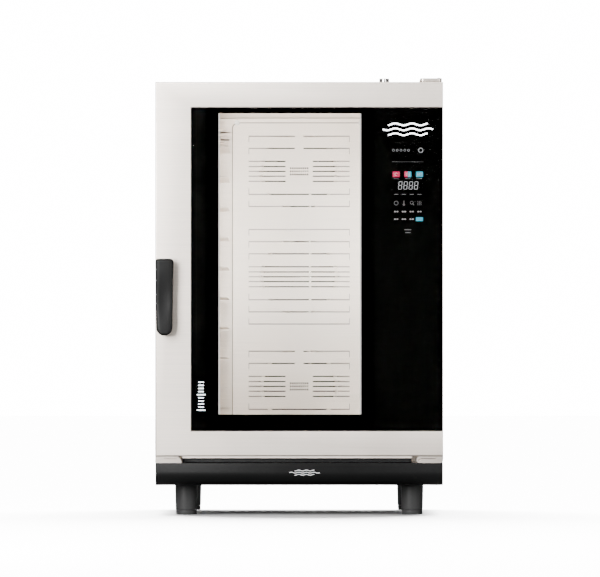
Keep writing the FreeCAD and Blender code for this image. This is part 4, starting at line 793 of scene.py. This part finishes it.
class OVEN_OT_lever(OvenPiece, bpy.types.Operator):
    """Moulded lever with a hollow for the thumb, and the boss behind it"""
    bl_idname = "oven.lever"
    bl_label = "Lever"

    def make(self, shape):
        """Sections up the lever are superellipses: x and y are a half width and a half depth
        times a power of the cosine and the sine. The half width tapers towards the foot and
        closes by a circle at both ends; the face dips by a squared cosine at the thumb."""
        x, y, z = (span("handle_lever", axis) for axis in "xyz")
        middle, top_half, foot_half = (x[0] + x[1]) / 2, (x[1] - x[0]) / 2, shape.lever_foot / 2
        rise = (1 - np.cos(np.linspace(0, math.pi, 90))) / 2
        level = z[0] + rise * (z[1] - z[0])
        half = foot_half + (top_half - foot_half) * rise
        low = np.clip((level - z[0]) / foot_half, 0, 1)
        high = np.clip((z[1] - level) / shape.lever_corner, 0, 1)
        half = half * np.sqrt(1 - (1 - low) ** 2)
        half = half - shape.lever_corner * (1 - np.sqrt(1 - (1 - high) ** 2))
        ease = shape.lever_round
        ends = np.clip(np.minimum(level - z[0], z[1] - level) / ease, 0, 1)
        end_inset = ease * (1 - np.sqrt(1 - (1 - ends) ** 2))
        thumb_place, thumb_reach = z[0] + 0.47 * (z[1] - z[0]), 85 * MM
        thumb = np.clip(1 - np.abs(level - thumb_place) / thumb_reach, 0, 1)
        dip = shape.thumb_depth * np.sin(thumb * math.pi / 2) ** 2
        face, rear = y[0] + end_inset + dip, y[1] - 0.4 * end_inset
        turn = np.arange(56) * 2 * math.pi / 56
        power = 2 / 5
        wave_x = np.sign(np.cos(turn)) * np.abs(np.cos(turn)) ** power
        wave_y = np.sign(np.sin(turn)) * np.abs(np.sin(turn)) ** power
        across = middle + half[:, None] * wave_x[None]
        depth = (face + rear)[:, None] / 2 + (rear - face)[:, None] / 2 * wave_y[None]
        hollow = np.clip(-wave_y, 0, 1)[None] * dip[:, None] * 0.9 * (1 - wave_x[None] ** 2)
        points = np.stack([across, depth + hollow, np.broadcast_to(level[:, None], across.shape)], 2)
        Shell().grid(points, wrap_columns=True, caps=True).build(
            "lever_grip", "handle", finish("grip_plastic"), "grey_coated_metal", ("handle_lever",), 60)
        self.boss(middle)

    def boss(self, middle):
        """Turned boss with a small step and a flare at its seat."""
        boss_x, boss_y, boss_z = (span("handle_boss", axis) for axis in "xyz")
        centre, radius, bore = (middle, sum(boss_z) / 2), (boss_x[1] - boss_x[0]) / 2, 7.5 * MM
        profile = [(bore, boss_y[0]), (radius - 3.5 * MM, boss_y[0]), (radius - 2.4 * MM, boss_y[0] + MM),
                   (radius - 1.4 * MM, boss_y[1] - 2 * MM), (radius - 0.4 * MM, boss_y[1] - MM),
                   (radius, boss_y[1]), (bore, boss_y[1])]
        hollow_lathe(profile, "y", centre).build(
            "lever_boss", "door", finish("grip_plastic"), "dark_plastic", ("handle_boss",))


class OVEN_OT_plinth(OvenPiece, bpy.types.Operator):
    """Enamelled skirt that rolls under, with its small symbol"""
    bl_idname = "oven.plinth"
    bl_label = "Plinth"

    def make(self, shape):
        """Section: straight front, a quarter circle to the foot, a straight back."""
        x, y, z = (span("plinth_panel", axis) for axis in "xyz")
        roll = shape.plinth_roll
        arc = corner_arc(14)
        under = np.stack([y[0] + roll * (1 - np.sin(arc)), z[0] + roll * (1 - np.cos(arc))], 1)
        outline = np.concatenate([under, [[y[0], z[1] - MM], [y[0] + MM, z[1]], [y[1], z[1]], [y[1], z[0]]]])
        slab(outline[::-1], "x", x[0], x[1], 0.8 * MM, 3).build(
            "plinth_skirt", "oven_body", finish("black_enamel"), "black_enamel", ("plinth_panel",), 40)
        marks, proud, thick = Shell(), 0.1 * MM, 0.3 * MM
        for index, reach in enumerate((26 * MM, 40 * MM, 26 * MM)):
            path = wave(49, (14 * MM, z[1] - (31 - 5.6 * index) * MM), reach, 1.1 * MM, 10 * MM)
            slab(ribbon(path, 1.6 * MM), "y", y[0] - proud, y[0] + thick - proud, 0.02 * MM, 2, marks)
        marks.build("plinth_symbol", "oven_body", finish("symbol_white"), "black_enamel")


class OVEN_OT_feet(OvenPiece, bpy.types.Operator):
    """Turned feet with a pad under each sleeve"""
    bl_idname = "oven.feet"
    bl_label = "Feet"

    def make(self, shape):
        """Lathed profiles of (radius, height) with small quarter circles at the edges."""
        low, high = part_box("foot_sleeves")
        radius = shape.foot_radius
        centres = [(x, y) for x in (low.x + radius, high.x - radius)
                   for y in (low.y + radius, high.y - radius)]
        sleeves, pads = Shell(), Shell()
        top, foot = high.z, low.z
        arc = corner_arc(5)
        edge = 1.6 * MM
        sleeve = [(9 * MM, foot)]
        sleeve += [(radius - shape.foot_taper - edge + edge * math.sin(t), foot + edge - edge * math.cos(t))
                   for t in arc]
        sleeve += [(radius - shape.foot_taper * 0.35, foot + 0.6 * (top - foot)), (radius, top - 10 * MM),
                   (radius, top), (9 * MM, top)]
        pad_top = span("foot_pads", "z")[1]
        rim, stem, axle, thick = radius - 2 * MM, 8 * MM, 0.1 * MM, 12 * MM
        pad = [(axle, 0.0), (rim - 1.6 * MM, 0.0), (rim - 0.8 * MM, 0.4 * MM), (rim - 0.4 * MM, 1.4 * MM),
               (rim - 0.2 * MM, 9 * MM), (rim - 0.2 * MM, thick - 0.8 * MM), (rim - 1 * MM, thick),
               (stem, thick), (stem, pad_top), (axle, pad_top)]
        for centre in centres:
            hollow_lathe(sleeve, "z", centre, shell=sleeves)
            lathe(pad, "z", centre, shell=pads)
        sleeves.build("feet_sleeves", "oven_body", finish("foot_coat"), "grey_coated_metal",
                      ("foot_sleeves",))
        pads.build("feet_pads", "oven_body", finish("foot_coat"), "dark_plastic", ("foot_pads",))


class OVEN_OT_hinges(OvenPiece, bpy.types.Operator):
    """Lower hinge plate, run-up plate and upper bracket, with pins and screws"""
    bl_idname = "oven.hinges"
    bl_label = "Hinge plates"

    def make(self, shape):
        self.lower()
        self.run_up()
        self.upper()

    def pin_place(self):
        """The pins stand on the hinge line, in the middle of the bushes."""
        low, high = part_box("hinge_bushes")
        return span("hinge_plate_bottom", "x")[1] - 16 * MM, (low.y + high.y) / 2

    def block(self, outline, depth, front, dents):
        """Plate whose face is a grid across the outline: each column runs from the lower to the
        upper edge, and its depth is the face's place plus the dents there."""
        x, low, high = outline
        rise = np.linspace(0, 1, 31)
        across = np.broadcast_to(x[:, None], (len(x), len(rise)))
        level = low[:, None] + (high - low)[:, None] * rise[None]
        face = np.stack([across, front + dents(across, level), level], 2)
        back = np.stack([across, np.full(across.shape, depth), level], 2)[:, ::-1]
        return Shell().grid(np.concatenate([face, back], 1), wrap_columns=True, caps=True)

    def lower(self):
        """The left end is a half circle, and the right lower corner is cut off."""
        x, y, z = (span("hinge_plate_bottom", axis) for axis in "xyz")
        top = span("support_plate", "z")[1]
        middle, radius = (z[0] + top) / 2, (top - z[0]) / 2
        place_x = x[0] + (x[1] - x[0]) * (1 - np.cos(np.linspace(0.02, math.pi, 90))) / 2
        reach = np.clip((place_x - x[0]) / radius, 0, 1)
        half = radius * np.sqrt(1 - (1 - reach) ** 2)
        cut_off = np.clip(place_x - (x[1] - 7 * MM), 0, 7 * MM)
        low = middle - half + cut_off

        def dents(a, b):
            slot = smooth(np.abs(b - (z[0] + 12.2 * MM)), 0.9 * MM, 0.5 * MM) * smooth(
                np.abs(a - (x[0] + 32 * MM)), 20 * MM, 19 * MM)
            hole = smooth(np.hypot(a - (x[0] + 8 * MM), b - middle), 2.6 * MM, 1.9 * MM)
            return 5 * MM * np.maximum(slot, hole)

        shell = self.block((place_x, low, middle + half), y[1], y[0], dents)
        lathe([(0.1 * MM, top - MM), (6 * MM, top - MM), (6 * MM, z[1] - 1.5 * MM), (4.6 * MM, z[1]),
               (0.1 * MM, z[1])], "z", self.pin_place(), shell=shell)
        shell.build("hinge_plate_low", "oven_body", finish("bracket_steel"), "stainless_bright",
                    ("hinge_plate_bottom",), 40)

    def run_up(self):
        """A groove crosses the face and turns up near the end; the end slopes."""
        x, y, z = (span("support_plate", axis) for axis in "xyz")
        place_x = np.linspace(x[0], x[1], 90)
        slope = np.clip(place_x - (x[1] - 10 * MM), 0, 10 * MM)

        def dents(a, b):
            groove = smooth(np.abs(b - (z[1] - 5.4 * MM)), 0.9 * MM, 0.5 * MM) * smooth(
                np.abs(a - (x[0] + 42 * MM)), 19 * MM, 18 * MM)
            return 4 * MM * groove

        shell = self.block((place_x, np.full(90, z[0]), z[1] - slope), y[1], y[0], dents)
        shell.build("run_up_plate", "oven_body", finish("bracket_steel"), "stainless_bright",
                    ("support_plate",), 40)

    def upper(self):
        """Rounded slab with the pin below it and two screws on it."""
        x, y, z = (span("hinge_bracket_top", axis) for axis in "xyz")
        seat, top = span("top_panel", "z")[1], z[1] - 1.8 * MM
        shell = slab(rounded_rectangle(x, y, 8 * MM, 8), "z", seat, top, 1.2 * MM, 4)
        pin = self.pin_place()
        lathe([(0.1 * MM, z[0]), (4.6 * MM, z[0]), (6 * MM, z[0] + 1.5 * MM), (6 * MM, seat + MM),
               (0.1 * MM, seat + MM)], "z", pin, shell=shell)
        shell.build("hinge_bracket_high", "oven_body", finish("bracket_steel"), "stainless_bright",
                    ("hinge_bracket_top",), 40)
        heads = Shell()
        for cx, cy in ((pin[0] - 6 * MM, y[0] + 100 * MM), (pin[0] + 5 * MM, y[0] + 12 * MM),
                       (x[0] + 12 * MM, y[0] + 70 * MM), (x[0] + 12 * MM, y[0] + 130 * MM)):
            screw_head(heads, "z", (cx, cy), top, z[1] - top, 4.6 * MM)
        heads.build("bracket_screws", "oven_body", finish("screw_steel"), "stainless_bright")


class OVEN_OT_seal(OvenPiece, bpy.types.Operator):
    """Silicone seal round the mouth"""
    bl_idname = "oven.seal"
    bl_label = "Door seal"

    def make(self, shape):
        """A flattened tube: the mouth's outline moves outwards by half the width times the
        cosine and backwards by half the depth times the sine of one angle, with two lips."""
        low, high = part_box("door_gasket")
        wide = shape.seal_width
        middle = wide / 2
        turn = np.arange(24) * 2 * math.pi / 24
        rings = []
        for angle in turn:
            out = middle - wide / 2 * math.cos(angle)
            lip = 1 - 0.35 * math.cos(2 * angle) ** 2 * (math.sin(angle) < 0)
            depth = (low.y + high.y) / 2 + (high.y - low.y) / 2 * math.sin(angle) * lip
            lines = rounded_rectangle((low.x + out, high.x - out), (low.z + out, high.z - out),
                                      max(24 * MM - out, 4 * MM), 7)
            rings.append(place(lines, depth, "y"))
        Shell().grid(np.stack(rings), wrap_rows=True, wrap_columns=True).build(
            "door_seal", "oven_body", finish("silicone"), "silicone", ("door_gasket",), 60)


class OVEN_OT_shadow_line_and_lip(OvenPiece, bpy.types.Operator):
    """Dark strip painted as the shadow line round the air guard, and the lip seal under the door"""
    bl_idname = "oven.seams"
    bl_label = "Painted shadow line and lip"

    def make(self, shape):
        """The painted shadow line is a dark ribbon along a half frame with one round corner.
        The lip is a long strip with a rounded section."""
        low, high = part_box("fan_baffle")
        left, top, radius = -shape.guard_half, high.z - 12 * MM, 16 * MM
        turn = np.linspace(math.pi, math.pi / 2, 9)
        corner = np.stack([left + radius + radius * np.cos(turn), top - radius + radius * np.sin(turn)], 1)
        path = np.concatenate([[(left, low.z + MM)], corner, [(-left, top)]])
        face = low.y - 0.4 * MM
        # painted shadow: a dark ribbon just in front of the guard stands for the shadow line at its fold
        slab(ribbon(path, shape.shadow_line_width), "y", face, face + 0.3 * MM, 0.02 * MM, 2).build(
            "guard_painted_shadow", "oven_body", finish("seam_dark"), "stainless_satin")
        x, y, z = (span("door_drip_tray", axis) for axis in "xyz")
        floor = span("plinth_panel", "z")[1]
        lip = rounded_rectangle((y[1] - 14 * MM, y[1] - 4 * MM), (floor + 0.8 * MM, z[0] + 0.4 * MM),
                                3 * MM, 5)
        slab(lip, "x", x[0], x[1], 1 * MM, 3).build(
            "door_lip_seal", "door", finish("silicone"), "silicone")


class OVEN_OT_services(OvenPiece, bpy.types.Operator):
    """Chimney with a rolled rim, and the screws of the roof, back and side sheets"""
    bl_idname = "oven.services"
    bl_label = "Chimney and screws"

    def make(self, shape):
        low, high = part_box("exhaust_chimney")
        centre = ((low.x + high.x) / 2, (low.y + high.y) / 2)
        outer = (high.x - low.x) / 2
        bore = outer - 2 * MM
        shoulder = high.z - 18 * MM
        arc = np.linspace(-math.pi / 2, math.pi / 2, 9)
        rim = [(outer - 1.5 * MM + 0.5 * MM * math.cos(t), high.z - 0.6 * MM + 0.5 * MM * math.sin(t))
               for t in arc]
        profile = [(bore, low.z), (outer, low.z), (outer, shoulder - MM), (outer - MM, shoulder)] + rim
        profile += [(bore, high.z - 0.6 * MM)]
        hollow_lathe(profile, "z", centre).build(
            "chimney_pipe", "oven_body", finish("shiny_steel"), "stainless_bright", ("exhaust_chimney",))
        self.screws()

    def screws(self):
        """Evenly spaced down both sides and along the head of the back, and along the roof."""
        heads, inset, head = Shell(), 9 * MM, (2 * MM, 4 * MM)
        x, z, back = span("rear_panel", "x"), span("rear_panel", "z"), span("rear_panel", "y")[1]
        for side in (-1, 1):
            for level in np.linspace(z[0] + 30 * MM, z[1] - 20 * MM, 7):
                screw_head(heads, "y", (side * (x[1] - inset), level), back, *head)
        for across in np.linspace(x[0] + 120 * MM, x[1] - 120 * MM, 4):
            screw_head(heads, "y", (across, z[1] - 12 * MM), back, *head)
        roof, roof_y = span("top_panel", "z")[1], span("top_panel", "y")
        for side in (-1, 1):
            for along in np.linspace(roof_y[0] + 160 * MM, roof_y[1] - 30 * MM, 5):
                screw_head(heads, "z", (side * (x[1] - inset), along), roof, *head)
        heads.build("sheet_screws", "oven_body", finish("screw_steel"), "stainless_satin")


class OVEN_OT_stage(bpy.types.Operator):
    """Pale floor, soft light and the camera"""
    bl_idname = "oven.stage"
    bl_label = "Stage"

    def execute(self, context):
        stage = context.scene.oven_stage
        floor = self.floor(stage)
        self.world(context.scene, stage)
        self.lamps(floor, stage)
        self.camera(context.scene, stage)
        return {"FINISHED"}

    def floor(self, stage):
        """Wide flat floor: bright where it is looked at, dark where it would light the oven."""
        mesh = bpy.data.meshes.new("floor")
        reach = 60.0
        mesh.from_pydata([(-reach, -reach, 0), (reach, -reach, 0), (reach, reach, 0), (-reach, reach, 0)],
                         [], [(0, 1, 2, 3)])
        made = bpy.data.objects.new("floor", mesh)
        bpy.context.scene.collection.objects.link(made)
        look, tree, shader = principled("floor_white", Base_Color=(0.5, 0.5, 0.5, 1), Roughness=1.0,
                                        Specular_IOR_Level=0.0)
        dark = tree.nodes.new("ShaderNodeBsdfDiffuse")
        dark.inputs["Color"].default_value = (stage.floor_bounce,) * 3 + (1,)
        path = tree.nodes.new("ShaderNodeLightPath")
        mix = tree.nodes.new("ShaderNodeMixShader")
        surface = tree.nodes["Material Output"].inputs["Surface"]
        wire(tree, (path.outputs["Is Camera Ray"], mix.inputs["Fac"]), (dark.outputs[0], mix.inputs[1]),
             (shader.outputs[0], mix.inputs[2]), (mix.outputs[0], surface))
        mesh.materials.append(look)
        return made

    def world(self, scene, stage):
        """White room with a dark patch around the camera, as a flag keeps it off the glass."""
        world = bpy.data.worlds.new("studio")
        scene.world = world
        world.use_nodes = True
        tree = world.node_tree
        soft = tree.nodes["Background"]
        where = tree.nodes.new("ShaderNodeTexCoord")
        dot = tree.nodes.new("ShaderNodeVectorMath")
        dot.operation = "DOT_PRODUCT"
        dot.inputs[1].default_value = (0, -1, 0)
        tilt = tree.nodes.new("ShaderNodeVectorMath")
        tilt.operation = "DOT_PRODUCT"
        tilt.inputs[1].default_value = stage.room_tilt
        level = tree.nodes.new("ShaderNodeMath")
        level.operation = "MULTIPLY_ADD"
        flag = tree.nodes.new("ShaderNodeMapRange")
        flag.interpolation_type = "SMOOTHSTEP"
        for label, value in (("From Min", math.cos(math.radians(stage.flag_angle * 2.2))),
                             ("From Max", math.cos(math.radians(stage.flag_angle))),
                             ("To Min", stage.room_light), ("To Max", 0.0)):
            flag.inputs[label].default_value = value
        seen = tree.nodes.new("ShaderNodeBackground")
        seen.inputs["Strength"].default_value = stage.backdrop
        path = tree.nodes.new("ShaderNodeLightPath")
        mix = tree.nodes.new("ShaderNodeMixShader")
        wire(tree, (where.outputs["Generated"], dot.inputs[0]), (dot.outputs["Value"], flag.inputs["Value"]),
             (where.outputs["Generated"], tilt.inputs[0]), (tilt.outputs["Value"], level.inputs[0]),
             (flag.outputs["Result"], level.inputs[1]), (flag.outputs["Result"], level.inputs[2]),
             (level.outputs["Value"], soft.inputs["Strength"]),
             (path.outputs["Is Camera Ray"], mix.inputs["Fac"]), (soft.outputs[0], mix.inputs[1]),
             (seen.outputs[0], mix.inputs[2]), (mix.outputs[0], tree.nodes["World Output"].inputs["Surface"]))

    def lamp(self, name, kind, place, aim, power, **values):
        data = bpy.data.lights.new(name, kind)
        data.energy = power
        for key, value in values.items():
            setattr(data, key, value)
        made = bpy.data.objects.new(name, data)
        made.location = place
        made.rotation_euler = (Vector(aim) - Vector(place)).to_track_quat("-Z", "Y").to_euler()
        bpy.context.scene.collection.objects.link(made)
        return made

    def lamps(self, floor, stage):
        """Soft boxes for the oven, a sky that lights the floor alone, and the chamber's lamps."""
        middle = (0, -0.4, 0.6)
        for name, place, size, power in (("left_box", (-2.4, -4.8, 1.8), (2.0, 3.0), stage.left_power),
                                         ("right_box", (2.6, -4.8, 1.6), (1.4, 3.0), stage.right_power),
                                         ("top_box", (0, -0.6, 3.4), (3.0, 3.0), stage.top_power)):
            self.lamp(name, "AREA", place, middle, power, shape="RECTANGLE", size=size[0], size_y=size[1])
        sky = self.lamp("floor_sky", "SUN", (0, 0, 6), (0, -6.5, 0), stage.floor_power,
                        angle=math.radians(68))
        only = bpy.data.collections.new("lit_by_sky")
        only.objects.link(floor)
        sky.light_linking.receiver_collection = only
        low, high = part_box("cavity_liner")
        lamp_side, aim_side, level = 0.17, 0.02, 0.74
        for index, side in enumerate((-1, 1)):
            self.lamp("chamber_lamp_%d" % index, "AREA", (side * lamp_side, low.y + 12 * MM, level),
                      (side * aim_side, high.y, level), stage.chamber_power, shape="RECTANGLE",
                      size=0.04, size_y=0.36)

    def camera(self, scene, stage):
        face = span("door_outer_glass", "y")[0]
        data = bpy.data.cameras.new("camera")
        data.sensor_width = 36.0
        data.lens = data.sensor_width * stage.distance / stage.view_width
        data.clip_end = 200.0
        made = bpy.data.objects.new("camera", data)
        made.location = (stage.aim_side, face - stage.distance, stage.eye_height)
        aim = Vector((stage.aim_side, face, stage.aim_height))
        made.rotation_euler = (aim - made.location).to_track_quat("-Z", "Y").to_euler()
        scene.collection.objects.link(made)
        scene.camera = made


PIECE_OPERATORS = (OVEN_OT_materials, OVEN_OT_stage, OVEN_OT_door_shell, OVEN_OT_glass, OVEN_OT_marks,
                   OVEN_OT_lever, OVEN_OT_plinth, OVEN_OT_feet, OVEN_OT_hinges, OVEN_OT_seal,
                   OVEN_OT_shadow_line_and_lip, OVEN_OT_services)


class OVEN_PT_panel(bpy.types.Panel):
    """Settings and one button per group of pieces"""
    bl_label = "Combi steamer oven"
    bl_idname = "OVEN_PT_panel"
    bl_space_type = "VIEW_3D"
    bl_region_type = "UI"
    bl_category = "Oven"

    def draw(self, context):
        for group in (context.scene.oven_shape, context.scene.oven_finish, context.scene.oven_stage):
            for name in type(group).__annotations__:
                self.layout.prop(group, name)
        for operator in PIECE_OPERATORS:
            self.layout.operator(operator.bl_idname)


SETTINGS = {"oven_shape": OvenShape, "oven_finish": OvenFinish, "oven_stage": OvenStage}


def register():
    for item in (*SETTINGS.values(), *PIECE_OPERATORS, OVEN_PT_panel):
        bpy.utils.register_class(item)
    for name, group in SETTINGS.items():
        setattr(bpy.types.Scene, name, PointerProperty(type=group))


def unregister():
    for name in SETTINGS:
        delattr(bpy.types.Scene, name)
    for item in (OVEN_PT_panel, *reversed(PIECE_OPERATORS), *reversed(list(SETTINGS.values()))):
        bpy.utils.unregister_class(item)


def main():
    register()
    for operator in PIECE_OPERATORS:
        family, name = operator.bl_idname.split(".")
        getattr(getattr(bpy.ops, family), name)()


if __name__ == "__main__":
    main()
